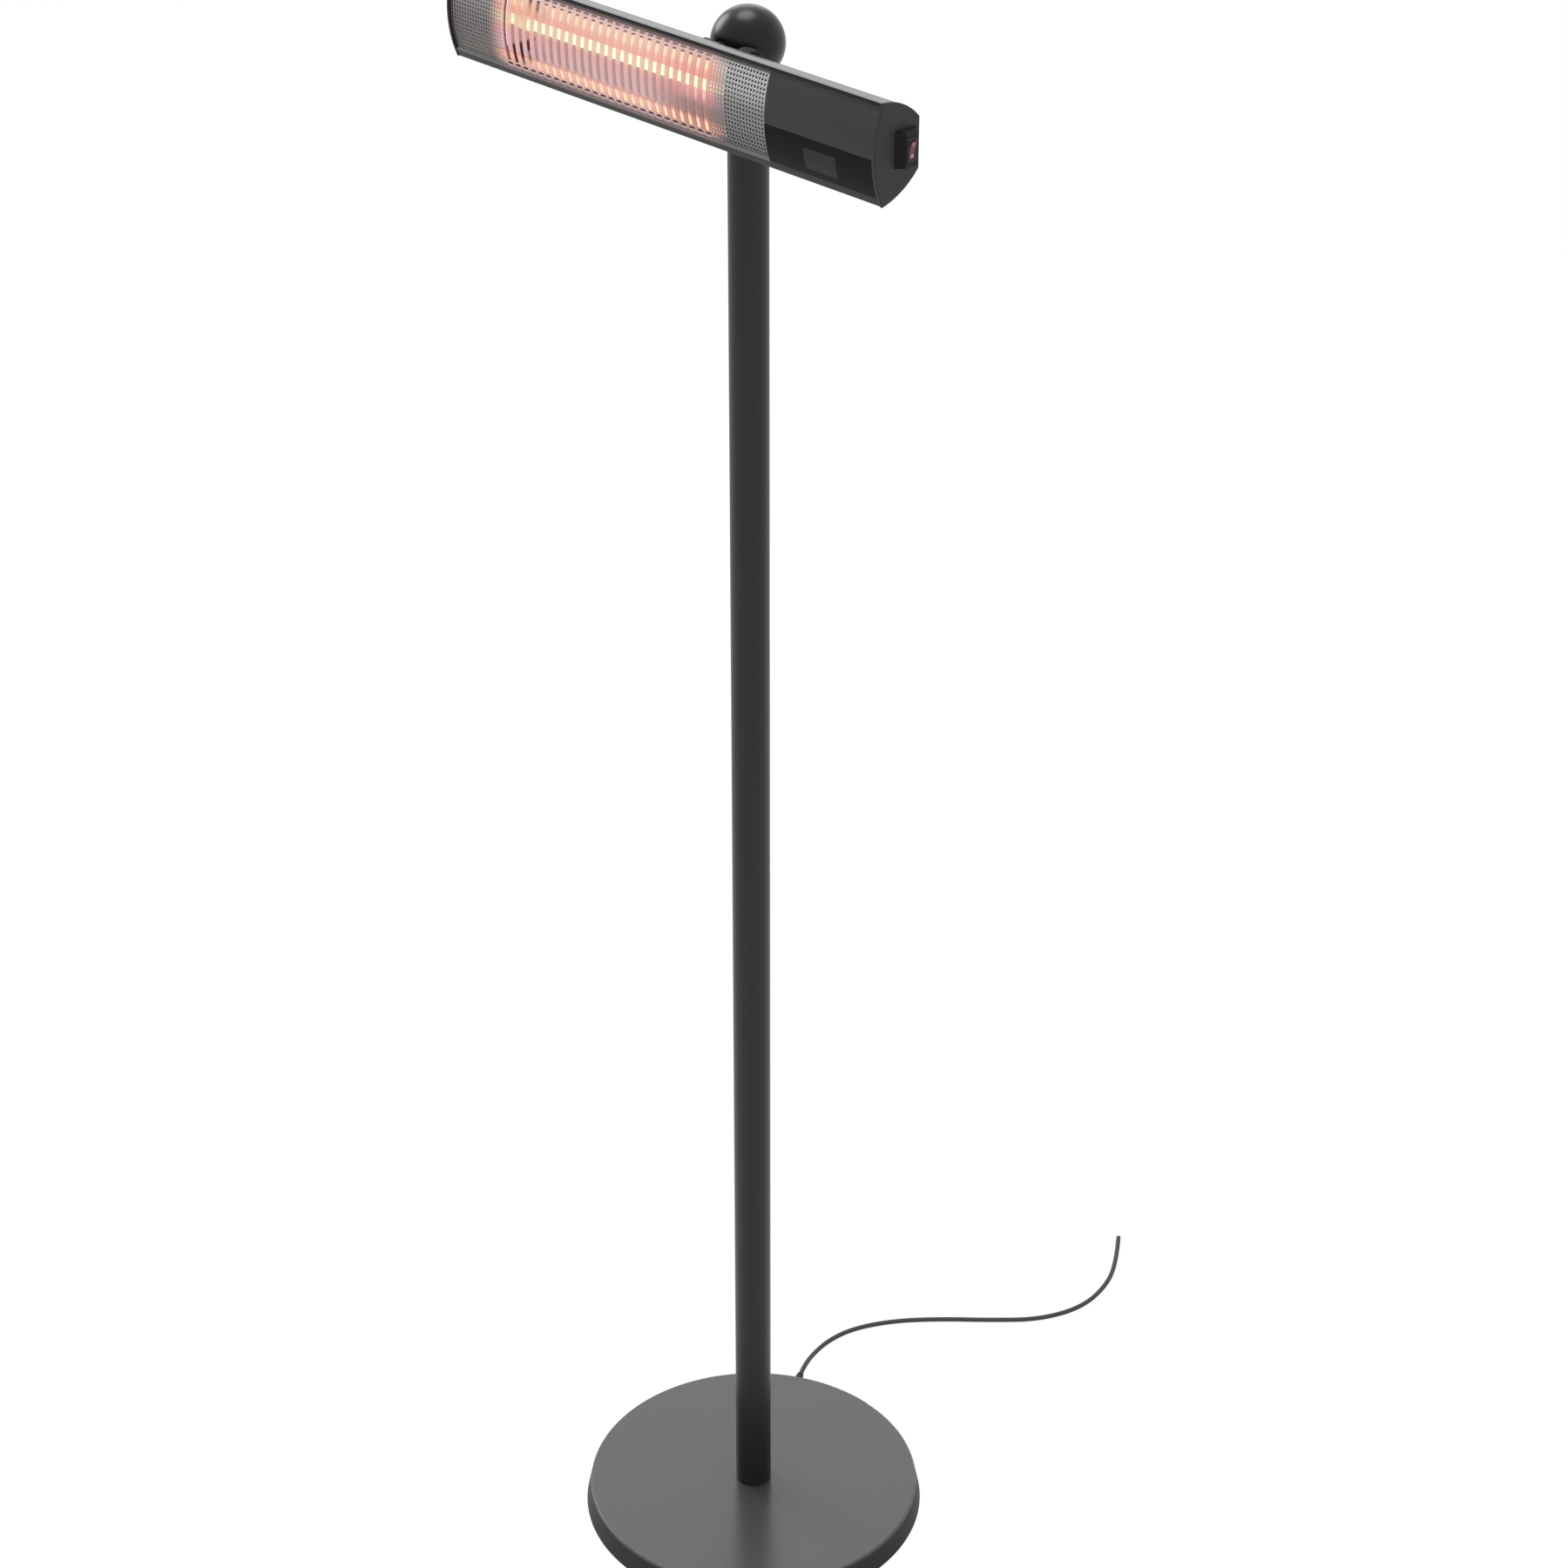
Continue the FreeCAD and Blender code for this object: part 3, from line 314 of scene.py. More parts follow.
def studio_floor():
    """Flat floor whose white glow is seen but hardly lights, blended with a surface for shadows."""
    mesh = bpy.data.meshes.new("floor")
    corners = [(-1, -1), (1, -1), (1, 1), (-1, 1)]
    places = [(x * floor_half, y * floor_half, 0.0) for x, y in corners]
    mesh.from_pydata(places, [], [(0, 1, 2, 3)])
    finish = Finish("floor_white")
    finish.surface({
        "Base Color": floor_tint,
        "Roughness": finish.spread(finish.noise(floor_grain), *floor_roughness),
        "Specular IOR Level": 0.0,
    })
    glow = finish.node("ShaderNodeEmission", None, {"Color": white, "Strength": floor_white})
    blend = finish.node("ShaderNodeMixShader", None, {
        0: seen_rays(finish) * (1 - shadow_share),
        1: Value(finish.tree, finish.shader.outputs[0]),
        2: glow,
    })
    feed(finish.tree, finish.tree.nodes["Material Output"].inputs["Surface"], blend)
    mesh.materials.append(finish.material)
    return add_object("floor", mesh)


class Surround(Finish):
    """The world's own node tree, made with the same methods."""

    def __init__(self):
        self.material = bpy.data.worlds.new("surround")
        self.material.use_nodes = True
        self.tree = self.material.node_tree
        self.shader = self.tree.nodes["Background"]


def soft_lamp(name, place, target, size, power):
    """Round lamp that points at a target and that the camera does not see."""
    lamp = bpy.data.lights.new(name, "AREA")
    lamp.shape = "DISK"
    lamp.size = size
    lamp.energy = power
    made = add_object(name, lamp)
    made.location = place
    made.rotation_euler = (Vector(target) - Vector(place)).to_track_quat("-Z", "Y").to_euler()
    made.visible_camera = False


surround = Surround()
surround.surface({
    "Color": white,
    "Strength": surround.spread(seen_rays(surround), surround_level, 1.0),
})
scene.world = surround.material
scene.view_settings.view_transform = "Standard"
soft_lamp("lamp_behind", (-3.3, 3.1, 3.6), target=(0.0, 0.0, 1.9), size=3.0, power=22.0)
soft_lamp("lamp_above", (-1.0, 0.6, 5.5), target=(0.0, 0.0, 1.5), size=2.4, power=90.0)
soft_lamp("lamp_left", (-4.4, -0.3, 3.6), target=(0.0, 0.0, 1.6), size=2.6, power=100.0)
studio_floor()

# %% [markdown]
# Powder coat covers the base, the pole and, in a later step, the drawn housing. It is a charcoal
# film with a very fine orange-peel skin, so the colour and the gloss wander a little and the
# normal gets a small bump. The base's coat is painted paler than the pole's, as painted light on
# the same charcoal coat, and its slanted wall darker than its top, as painted shade. Its top, which
# faces up, has a thin clear gloss that its slanted wall lacks.

# %% Powder coat
cloud_scale = 9.0
cloud_share = 0.7
speck_share = 0.3
peel_depth = 0.00012
peel_strength = 0.25
base_top = 0.0305
wall_height = 0.0035
wall_painted_shade = grey(0.036)
top_gloss = 0.9
top_gloss_roughness = 0.22


def powder_coat(name, dark, pale, rough, peel_scale, shine):
    """Baked powder film. Keeps its colour and gloss, so that zones can be added to them."""
    finish = Finish(name)
    cloud = finish.noise(cloud_scale, 3.0)
    peel = finish.noise(peel_scale)
    speck = finish.noise(peel_scale * 3, 1.0)
    finish.colour = finish.mix(cloud * cloud_share + speck * speck_share, dark, pale)
    finish.gloss = finish.spread(peel, *rough)
    finish.surface({
        "Base Color": finish.colour,
        "Roughness": finish.gloss,
        "Specular IOR Level": shine,
        "Normal": finish.bump(peel, peel_depth, peel_strength),
    })
    return finish


pole_coat = powder_coat("pole_coat", grey(0.014), grey(0.018), rough=(0.32, 0.42),
                        peel_scale=900.0, shine=0.28)
# The base's coat is paler than the pole's: painted light on the same charcoal coat.
base_coat = powder_coat("base_coat", grey(0.052), grey(0.060), rough=(0.40, 0.50),
                        peel_scale=700.0, shine=0.05)
# Below its top the base's slanted wall takes a darker tint: painted shade.
on_top = base_coat.step(base_coat.axes()[2], base_top - wall_height, base_top)
base_coat.surface({
    "Base Color": base_coat.mix(on_top, wall_painted_shade, base_coat.colour),
    "Coat Weight": on_top * top_gloss,
    "Coat Roughness": top_gloss_roughness,
})
dress(pole_coat.material, "pole_tube")
dress(base_coat.material, "base_shell")
print("powder coats", pole_coat.material.name, base_coat.material.name)

# %% [markdown]
# Moulded plastic makes the ball, the knob, the end caps and the upper half of the control cover. A
# mould's fine spark texture scatters light, so the bump is finer than on the coat. The glossy
# panel below the cover is the same plastic polished, with only faint waviness left.

# %% Moulded plastic
spark_scale = 1600.0
spark_strength = 0.3
mottle_scale = 25.0
matt = (0.44, 0.56)
matt_grain = 0.00006
# The switch boss's forward-facing wall is painted darker than the rest of it: painted shade.
boss_shaded_wall_fade = (-0.1085, -0.1100)
boss_painted_shade_tints = (grey(0.023), grey(0.011))
boss_shine = 0.1


def moulded(name, dark, pale, rough, depth, shine=0.5):
    """Plastic with a faint mottle and, to a given depth, the fine grain of its mould."""
    finish = Finish(name)
    spark = finish.noise(spark_scale, 3.0)
    mottle = finish.noise(mottle_scale)
    return finish.surface({
        "Base Color": finish.mix(mottle, dark, pale),
        "Roughness": finish.spread(spark, *rough),
        "Specular IOR Level": shine,
        "Normal": finish.bump(spark, depth, spark_strength),
    })


def boss_plastic():
    """The cap's plastic, with painted shade on the wall of the switch boss that faces forward."""
    finish = Finish("boss_plastic")
    spark = finish.noise(spark_scale, 3.0)
    wall = finish.step(finish.axes()[1], *boss_shaded_wall_fade)
    return finish.surface({
        "Base Color": finish.mix(wall, *boss_painted_shade_tints),
        "Roughness": finish.spread(spark, *matt),
        "Specular IOR Level": boss_shine,
        "Normal": finish.bump(spark, matt_grain, spark_strength),
    })


ball_plastic = moulded("ball_plastic", grey(0.004), grey(0.006), (0.25, 0.34), 0.00004, shine=0.28)
knob_plastic = moulded("knob_plastic", grey(0.005), grey(0.008), matt, matt_grain, shine=0.1)
cap_plastic = moulded("cap_plastic", grey(0.020), grey(0.025), matt, matt_grain, shine=0.35)
# The left end cap wears a paler copy of the cap plastic, as painted light; the right cap keeps the
# plain one.
cap_plastic_painted_light = moulded("cap_plastic_painted_light", grey(0.036), grey(0.044), matt, matt_grain, shine=0.45)
black_plastic = moulded("black_plastic", grey(0.006), grey(0.009), (0.34, 0.45), 0.00004, shine=0.2)
panel_plastic = moulded("panel_plastic", grey(0.006), grey(0.008), (0.12, 0.18), 0.00001,
                        shine=0.06)
dress(ball_plastic, "swivel_ball")
dress(knob_plastic, "tilt_knob", "tilt_bracket", "tilt_arm")
dress(cap_plastic_painted_light, "left_end_cap")
dress(cap_plastic, "right_end_cap", "control_cover", "cap_gaskets", "cap_screws", "switch_bezel")
dress(boss_plastic(), "switch_boss")
dress(black_plastic, "switch_body", "cord_gland", "pole_plug", "power_relay", "ir_receiver",
      "friction_washers", "knob_washer", "thrust_washer")
dress(panel_plastic, "control_panel")
print("moulded plastics for ball, knob, caps, cover, boss and panel")

# %% [markdown]
# The receiver's window is smoked plastic with a fine matt tooth, a shade paler than the panel
# round it. The rocker is red and half clear, so it is a warm red with a soft gloss. Rubber, the
# cord's jacket and the small parts on the control board only differ in colour, gloss and grain, so
# the same moulded finish makes them all.

# %% Window, rocker, rubber, cord jacket and board
window_plastic = moulded("window_plastic", grey(0.016), grey(0.020), (0.3, 0.4), 0.00003,
                         shine=0.15)
rocker_red = moulded("rocker_red", (0.145, 0.016, 0.020), (0.185, 0.021, 0.026), (0.24, 0.34),
                     0.00001)
rubber_black = moulded("rubber_black", grey(0.014), grey(0.022), (0.7, 0.85), 0.00012)
cord_jacket = moulded("cord_jacket", grey(0.030), grey(0.040), (0.42, 0.55), 0.00006, shine=0.4)
nylon_pale = moulded("nylon_pale", (0.55, 0.54, 0.50), (0.64, 0.63, 0.59), (0.4, 0.5), 0.00003)
terminal_white = moulded("terminal_white", (0.62, 0.61, 0.57), (0.70, 0.69, 0.66), (0.38, 0.5),
                         0.00003)
board_green = moulded("board_green", (0.012, 0.085, 0.035), (0.020, 0.115, 0.050), (0.28, 0.4),
                      0.00002)
sleeve_white = moulded("sleeve_white", (0.55, 0.50, 0.42), (0.66, 0.62, 0.54), (0.6, 0.75), 0.00015)
dress(window_plastic, "receiver_lens")
dress(rocker_red, "power_rocker")
dress(rubber_black, "floor_mat")
dress(cord_jacket, "supply_cable")
dress(nylon_pale, "board_standoffs")
dress(terminal_white, "terminal_block")
dress(board_green, "control_board")
dress(sleeve_white, "lamp_leads")
cord.data.materials.append(cord_jacket)
print("finishes of window, rocker, mat, cord, leads and board")

# %% [markdown]
# Bare metal needs a mirror with scratches: full metallic, a colour close to the metal's own, and a
# roughness that wanders in a fine grain. The bulkhead on the lamp's left is polished instead, so
# that the tube seems to go on in it, and its lower edge turns dark red. The black screws are
# steel under a film, which looks like a dull plastic, so they take that finish.

# %% Bare metals
metal_grain = (700.0, 700.0, 700.0)
grain_depth = 0.00002
grain_strength = 0.2
red_edge_fade = (1.994, 1.988)
red_edge_colour = (0.16, 0.055, 0.045)
mirror_tints = ((0.90, 0.82, 0.74), (0.96, 0.90, 0.83))
mirror_ripple = 700.0
mirror_roughness = (0.02, 0.05)


def bare_metal(name, colour, shade, rough):
    """Metal with a fine grain in its colour, gloss and surface."""
    finish = Finish(name)
    grain = finish.streaks(metal_grain, 4.0)
    return finish.surface({
        "Base Color": finish.mix(grain, shade, colour),
        "Metallic": 1.0,
        "Roughness": finish.spread(grain, *rough),
        "Normal": finish.bump(grain, grain_depth, grain_strength),
    })


def bulkhead_mirror():
    """Polished steel that turns dark red along its lower edge."""
    finish = Finish("bulkhead_mirror")
    red_edge = finish.step(finish.axes()[2], *red_edge_fade)
    ripple = finish.noise(mirror_ripple, 4.0)
    clean = finish.mix(ripple, *mirror_tints)
    return finish.surface({
        "Base Color": finish.mix(red_edge, clean, red_edge_colour),
        "Metallic": 1.0,
        "Roughness": finish.spread(ripple, *mirror_roughness),
    })


zinc_steel = bare_metal("zinc_steel", (0.55, 0.55, 0.54), grey(0.42), rough=(0.3, 0.45))
turned_steel = bare_metal("turned_steel", grey(0.52), grey(0.40), rough=(0.22, 0.34))
cast_iron = bare_metal("cast_iron", (0.16, 0.155, 0.15), grey(0.09), rough=(0.55, 0.75))
black_screw = moulded("black_screw", grey(0.020), grey(0.030), (0.35, 0.45), 0.00003)
dress(zinc_steel, "base_floor", "floor_screws", "flange_screws", "lamp_clips", "rocker_pin",
      "right_bulkhead")
dress(bulkhead_mirror(), "left_bulkhead")
dress(turned_steel, "pole_spigot")
dress(cast_iron, "base_ballast")
dress(black_screw, "bracket_screws", "pole_set_screws", "swivel_screw", "hinge_bolt")
print("bare metals", zinc_steel.name, turned_steel.name, cast_iron.name)

# %% [markdown]
# The front of the head is a shallow arc, given by the height of its chord and its bulge. The
# grille follows it just below the housing's front. Everything on that sheet is placed by two
# numbers, how far along the head and how high on the arc, because that is how the flat sheet was
# punched before it was bent.

# %% Curved front
head_height = 2.010
back_plane = -0.081
front_half_height = 0.0534
front_chord_depth = 0.0509
front_bulge = 0.0112
sheet_below_front = 0.0022
sheet_thickness = 0.001
front_radius = (front_half_height ** 2 + front_bulge ** 2) / (2 * front_bulge)
front_axis_y = back_plane - front_chord_depth - front_bulge + front_radius
sheet_radius = front_radius - sheet_below_front
grille_low, grille_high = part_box("grille")


def on_front(x, height, radius):
    """Point of the head's curved front at a place along it and a height on it."""
    return (x, front_axis_y - math.sqrt(radius ** 2 - height ** 2), head_height + height)


print("front radius", round(front_radius, 4), "sheet radius", round(sheet_radius, 4))

# %% [markdown]
# In front of the lamp the sheet has upright slots, with a row of short dashes above and below
# them, and on both sides of the slots a fine square mesh. Each row of holes is a list of spans, so
# the whole pattern is known before any face is made.

# %% Lines of the holes
grille_reach = (-0.0486, 0.050)
slot_zone = (-0.247, 0.089)
slot_count = 26
slot_share = 0.48
slot_reach = (-0.0370, 0.041)
dash_share = 0.70
dash_reaches = ((-0.0416, -0.0388), (0.0430, 0.0456))
mesh_pitch = 0.0046
mesh_hole = 0.0024
left_mesh_hole = 0.0020
mesh_reach = (-0.0435, 0.0467)


def mesh_lines(low, high, hole):
    """Edges of the holes in one direction, centred between two limits."""
    count = int((high - low) / mesh_pitch)
    first = (low + high - count * mesh_pitch) / 2 + (mesh_pitch - hole) / 2
    starts = [first + mesh_pitch * index for index in range(count)]
    return [(start, start + hole) for start in starts]


def slot_lines(share):
    """Edges of the openings in the slotted part, each a share of the pitch wide."""
    pitch = (slot_zone[1] - slot_zone[0]) / slot_count
    half = pitch * share / 2
    middles = [slot_zone[0] + pitch * (index + 0.5) for index in range(slot_count)]
    return [(middle - half, middle + half) for middle in middles]


def edges_of(spans, low, high):
    """All grid lines in one direction: both ends of the sheet and both edges of every span."""
    return sorted({low, high, *[edge for span in spans for edge in span]})


left_columns = mesh_lines(grille_low.x, slot_zone[0], left_mesh_hole)
right_columns = mesh_lines(slot_zone[1], grille_high.x - mesh_pitch / 2, mesh_hole)
mesh_columns = left_columns + right_columns
mesh_rows = mesh_lines(*mesh_reach, mesh_hole)
slots = slot_lines(slot_share)
dashes = slot_lines(dash_share)
column_edges = edges_of(mesh_columns + slots + dashes, grille_low.x, grille_high.x)
row_edges = edges_of([*mesh_rows, *dash_reaches, slot_reach], *grille_reach)
print("mesh columns", len(mesh_columns), "mesh rows", len(mesh_rows), "slots", len(slots))

# %% [markdown]
# Cutting a thousand holes from a sheet by booleans is slow and leaves ragged faces. Here the grid
# of lines is laid over the sheet, each cell is either metal or hole, and only the metal cells and
# the walls round the holes become faces.

# %% Punched grille
def within(spans, edges, index):
    """Tells whether the cell after one grid line lies in any of the spans."""
    middle = (edges[index] + edges[index + 1]) / 2
    return any(low < middle < high for low, high in spans)


def is_hole(i, j):
    """Tells whether the cell in one column and row of the grid is punched out."""
    if within(dashes, column_edges, i) and within(dash_reaches, row_edges, j):
        return True
    if within(slots, column_edges, i):
        return within([slot_reach], row_edges, j)
    return within(mesh_columns, column_edges, i) and within(mesh_rows, row_edges, j)


def punched_grid(columns, rows):
    """Curved sheet from grid lines, with both faces and the walls of every hole."""
    made = bmesh.new()
    outer, inner = [
        [[made.verts.new(on_front(x, height, radius)) for height in rows] for x in columns]
        for radius in (sheet_radius, sheet_radius - sheet_thickness)]
    cells = [(i, j) for i in range(len(columns) - 1) for j in range(len(rows) - 1)]
    metal = {cell for cell in cells if not is_hole(*cell)}
    for i, j in metal:
        ring = [(i, j), (i + 1, j), (i + 1, j + 1), (i, j + 1)]
        made.faces.new([outer[a][b] for a, b in ring])
        made.faces.new([inner[a][b] for a, b in reversed(ring)])
        beside = [(i, j - 1), (i + 1, j), (i, j + 1), (i - 1, j)]
        for side, neighbour in enumerate(beside):
            if neighbour not in metal:
                (a, b), (c, d) = ring[side], ring[(side + 1) % 4]
                made.faces.new([outer[c][d], outer[a][b], inner[a][b], inner[c][d]])
    bmesh.ops.delete(made, geom=[v for v in made.verts if not v.link_faces], context="VERTS")
    for face in made.faces:
        face.smooth = True
    data = bpy.data.meshes.new("grille_sheet")
    made.to_mesh(data)
    made.free()
    return data


grille = add_object("grille_sheet", punched_grid(column_edges, row_edges))
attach(grille, "head")
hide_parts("grille")
print("grille faces", len(grille.data.polygons))

# %% [markdown]
# In front of the lit lamp the bars between the slots are flooded with its light: cream at the
# height of the tube, salmon and pink above and below it. A lamp that strong would also drown the
# rest of the picture, so the bars carry that light as their own soft glow, by their height on the
# sheet. Towards the right end of the lamp the lower half of the bars turns dark red. The mesh has
# no glow, but painted shade makes it darker below than above, and its lowest edge carries a thin
# line of painted light.

# %% Light on the sheet by height
bar_glow = (
    (-0.0486, (0.130, 0.100, 0.095)),
    (-0.0450, (0.230, 0.165, 0.170)),
    (-0.0420, (0.175, 0.115, 0.120)),
    (-0.0405, (0.420, 0.250, 0.255)),
    (-0.0365, (0.450, 0.230, 0.185)),
    (-0.0335, (0.560, 0.280, 0.210)),
    (-0.0275, (0.620, 0.310, 0.230)),
    (-0.0250, (0.460, 0.160, 0.130)),
    (-0.0225, (0.430, 0.260, 0.290)),
    (-0.0080, (0.500, 0.255, 0.290)),
    (0.0040, (0.560, 0.240, 0.220)),
    (0.0085, (0.570, 0.400, 0.260)),
    (0.0180, (0.570, 0.390, 0.250)),
    (0.0220, (0.580, 0.250, 0.180)),
    (0.0320, (0.580, 0.330, 0.250)),
    (0.0405, (0.560, 0.350, 0.300)),
    (0.0425, (0.420, 0.300, 0.310)),
    (0.0500, (0.250, 0.200, 0.210)),
)
end_glow = (
    (-0.0486, (0.130, 0.100, 0.095)),
    (-0.0450, (0.180, 0.140, 0.140)),
    (-0.0420, (0.180, 0.130, 0.130)),
    (-0.0405, (0.300, 0.155, 0.155)),
    (-0.0365, (0.280, 0.090, 0.065)),
    (-0.0290, (0.340, 0.060, 0.050)),
    (-0.0225, (0.070, 0.018, 0.015)),
    (-0.0110, (0.130, 0.025, 0.030)),
    (-0.0040, (0.360, 0.070, 0.090)),
    (0.0050, (0.520, 0.140, 0.130)),
    (0.0100, (0.540, 0.270, 0.180)),
    (0.0180, (0.540, 0.250, 0.170)),
    (0.0220, (0.540, 0.150, 0.110)),
    (0.0320, (0.540, 0.210, 0.160)),
    (0.0405, (0.520, 0.280, 0.250)),
    (0.0425, (0.400, 0.280, 0.290)),
    (0.0500, (0.250, 0.200, 0.210)),
)
# Painted shade of the mesh by height, right of the slots and then left of them.
mesh_painted_shade = (
    (-0.0486, (0.125, 0.125, 0.125)),
    (-0.0300, (0.140, 0.138, 0.136)),
    (-0.0100, (0.200, 0.198, 0.195)),
    (0.0050, (0.230, 0.230, 0.228)),
    (0.0200, (0.400, 0.395, 0.390)),
    (0.0500, (0.400, 0.395, 0.390)),
)
left_painted_shade = (
    (-0.0486, (0.150, 0.134, 0.130)),
    (0.0000, (0.168, 0.154, 0.152)),
    (0.0200, (0.250, 0.240, 0.235)),
    (0.0500, (0.280, 0.270, 0.260)),
)
edge_light = (
    (-0.0486, grey(0.120)),
    (-0.0462, grey(0.120)),
    (-0.0448, grey(0.190)),
    (-0.0441, grey(0.190)),
    (-0.0434, black),
)
print("bar glow has", len(bar_glow), "stops, and", len(end_glow), "at the lamp's end")

# %% [markdown]
# Stainless steel mirrors the white studio. Rolling leaves fine lines along the sheet, so the noise
# that breaks up its gloss is drawn out along the head. The finish reads the place along the head
# to pass from the mesh to the glowing bars, and the height to pick the glow.

# %% Stainless grille
along_head = (60.0, 1800.0, 1800.0)
glow_reach = 0.026
end_fade = (-0.020, 0.065)
streak_tint = (0.45, 0.45, 0.44)
streak_share = 0.3
lit_steel = (0.26, 0.20, 0.19)
sheet_roughness = (0.36, 0.48)


def near_lamp(finish, x):
    """One in front of the lamp, fading to zero along a reach beside it."""
    left = finish.step(x, slot_zone[0] - glow_reach, slot_zone[0] + glow_reach / 4)
    right = finish.step(x, slot_zone[1] + glow_reach, slot_zone[1] - glow_reach / 4)
    return left * right


def grille_steel():
    """Rolled steel: grey mesh with painted shade at both ends, bars glowing with painted lamp
    light.
    """
    finish = Finish("grille_steel")
    x, _, z = finish.axes()
    height = z - head_height
    streak = finish.streaks(along_head, 3.0)
    near = near_lamp(finish, x)
    glow = finish.mix(finish.step(x, *end_fade),
                      finish.ramp(height, bar_glow), finish.ramp(height, end_glow))
    # Painted shade: the mesh darkens towards the bottom of the sheet.
    shade = finish.mix(finish.step(x, *slot_zone),
                       finish.ramp(height, left_painted_shade), finish.ramp(height, mesh_painted_shade))
    steel = finish.mix(streak * streak_share, shade, streak_tint)
    return finish.surface({
        "Base Color": finish.mix(near, steel, lit_steel),
        "Metallic": 1.0,
        "Roughness": finish.spread(streak, *sheet_roughness),
        "Emission Color": finish.mix(near, finish.ramp(height, edge_light), glow),
        "Emission Strength": 1.0,
    })


grille.data.materials.append(grille_steel())
print("grille finish", grille.data.materials[0].name)

# %% [markdown]
# The housing wears powder coat too, and its lips hold the sheet. Their rounded edges catch the
# light as a thin pale line along the whole grille, and in front of the lamp its glow spills a
# little way over them. Over the control cover the upper lip is a shade paler. Towards the back the
# coat is duller, because a glossy one vanishes in the white studio when it is seen along its top.
# In the hollow to the left of the lamp, stray light tints the inside a dull red. All of this is
# one solid, so it is one coat with zones rather than several materials.

# %% Housing and lips lit by the lamp
lip_front = -0.1338
lip_edge = 0.0008
cover_edge = 0.001
upper_lip = (0.030, 0.035)
cover_lip_tint = grey(0.034)
dull_behind = (-0.113, -0.101)
added_roughness = 0.45
hollow_middle = -0.110
inward_fade = (0.0, 0.004)
stray_depth = (-0.1250, -0.1200)
stray_reach = (-0.334, -0.322)
stray_end = (-0.228, -0.234)
stray_red = (0.30, 0.10, 0.08)
lip_line = (
    (-0.0472, black),
    (-0.0464, grey(0.120)),
    (-0.0440, grey(0.150)),
    (0.0440, grey(0.062)),
    (0.0540, grey(0.053)),
)
lip_glow = (
    (-0.0540, black),
    (-0.0486, (0.014, 0.006, 0.002)),
    (-0.0470, (0.130, 0.095, 0.090)),
    (-0.0440, (0.240, 0.180, 0.180)),
    (0.0440, (0.150, 0.098, 0.092)),
    (0.0540, (0.112, 0.068, 0.063)),
)


def stray_light(finish, along, deep, up):
    """One on the surfaces that face into the hollow to the left of the lamp."""
    facing = finish.axes(finish.node("ShaderNodeTexCoord", out="Normal"))
    inward = facing[1] * (hollow_middle - deep) + facing[2] * (head_height - up)
    inside = finish.step(inward, *inward_fade) * finish.step(deep, *stray_depth)
    return inside * finish.step(along, *stray_reach) * finish.step(along, *stray_end)


def housing_coat():
    """Powder coat with the zones that the lamp and the view along the housing ask for."""
    finish = powder_coat("lip_coat", grey(0.009), grey(0.012), rough=(0.18, 0.26),
                         peel_scale=900.0, shine=0.18)
    along, deep, up = finish.axes()
    above = up - head_height
    sheet_end = grille_high.x
    on_lip = finish.step(deep, lip_front + lip_edge, lip_front)
    by_sheet = finish.step(along, sheet_end + cover_edge, sheet_end) * on_lip
    by_cover = finish.step(along, sheet_end, sheet_end + cover_edge)
    pale_zone = by_cover * finish.step(above, *upper_lip) * on_lip
    pale_line = finish.mix(by_sheet, black, finish.ramp(above, lip_line))
    beside_lamp = finish.mix(stray_light(finish, along, deep, up), pale_line, stray_red)
    return finish.surface({
        "Base Color": finish.mix(pale_zone, finish.colour, cover_lip_tint),
        "Roughness": finish.gloss + finish.step(deep, *dull_behind) * added_roughness,
        "Emission Color": finish.mix(near_lamp(finish, along) * on_lip, beside_lamp,
                                     finish.ramp(above, lip_glow)),
        "Emission Strength": 1.0,
    })


dress(housing_coat(), "housing")
print("lip glow has", len(lip_glow), "stops")

# %% [markdown]
# Behind the lamp lies a bright trough. It mirrors the tube twice, in a broad peach band above it
# and a narrow one at its lower edge, and between them it mirrors the dark back of the grille. A
# true mirror would need many light bounces through narrow slots and stay noisy, so the trough is a
# rather dull mirror that carries those bands as a painted reflection, a glow of its own, by height.
# Its two ends have bands of their own, and above the upper band painted shade makes it dark.

# %% Trough behind the lamp
trough_glow = (
    (-0.0430, (0.900, 0.560, 0.400)),
    (-0.0385, (0.900, 0.560, 0.400)),
    (-0.0365, (0.480, 0.220, 0.180)),
    (-0.0330, (0.240, 0.155, 0.155)),
    (-0.0180, (0.270, 0.170, 0.175)),
    (-0.0100, (0.440, 0.230, 0.210)),
    (-0.0020, (0.640, 0.330, 0.250)),
    (0.0070, (0.700, 0.360, 0.270)),
    (0.0105, (0.880, 0.600, 0.420)),
    (0.0215, (0.880, 0.600, 0.420)),
    (0.0240, (0.120, 0.060, 0.060)),
    (0.0310, (0.060, 0.028, 0.032)),
    (0.0430, (0.030, 0.020, 0.022)),
)
trough_left_glow = (
    (-0.0430, (0.200, 0.090, 0.070)),
    (-0.0365, (0.200, 0.090, 0.080)),
    (-0.0330, (0.420, 0.260, 0.250)),
    (-0.0180, (0.440, 0.270, 0.255)),
    (-0.0020, (0.640, 0.330, 0.250)),
    (0.0070, (0.500, 0.240, 0.190)),
    (0.0120, (0.140, 0.050, 0.045)),
    (0.0430, (0.050, 0.018, 0.018)),
)
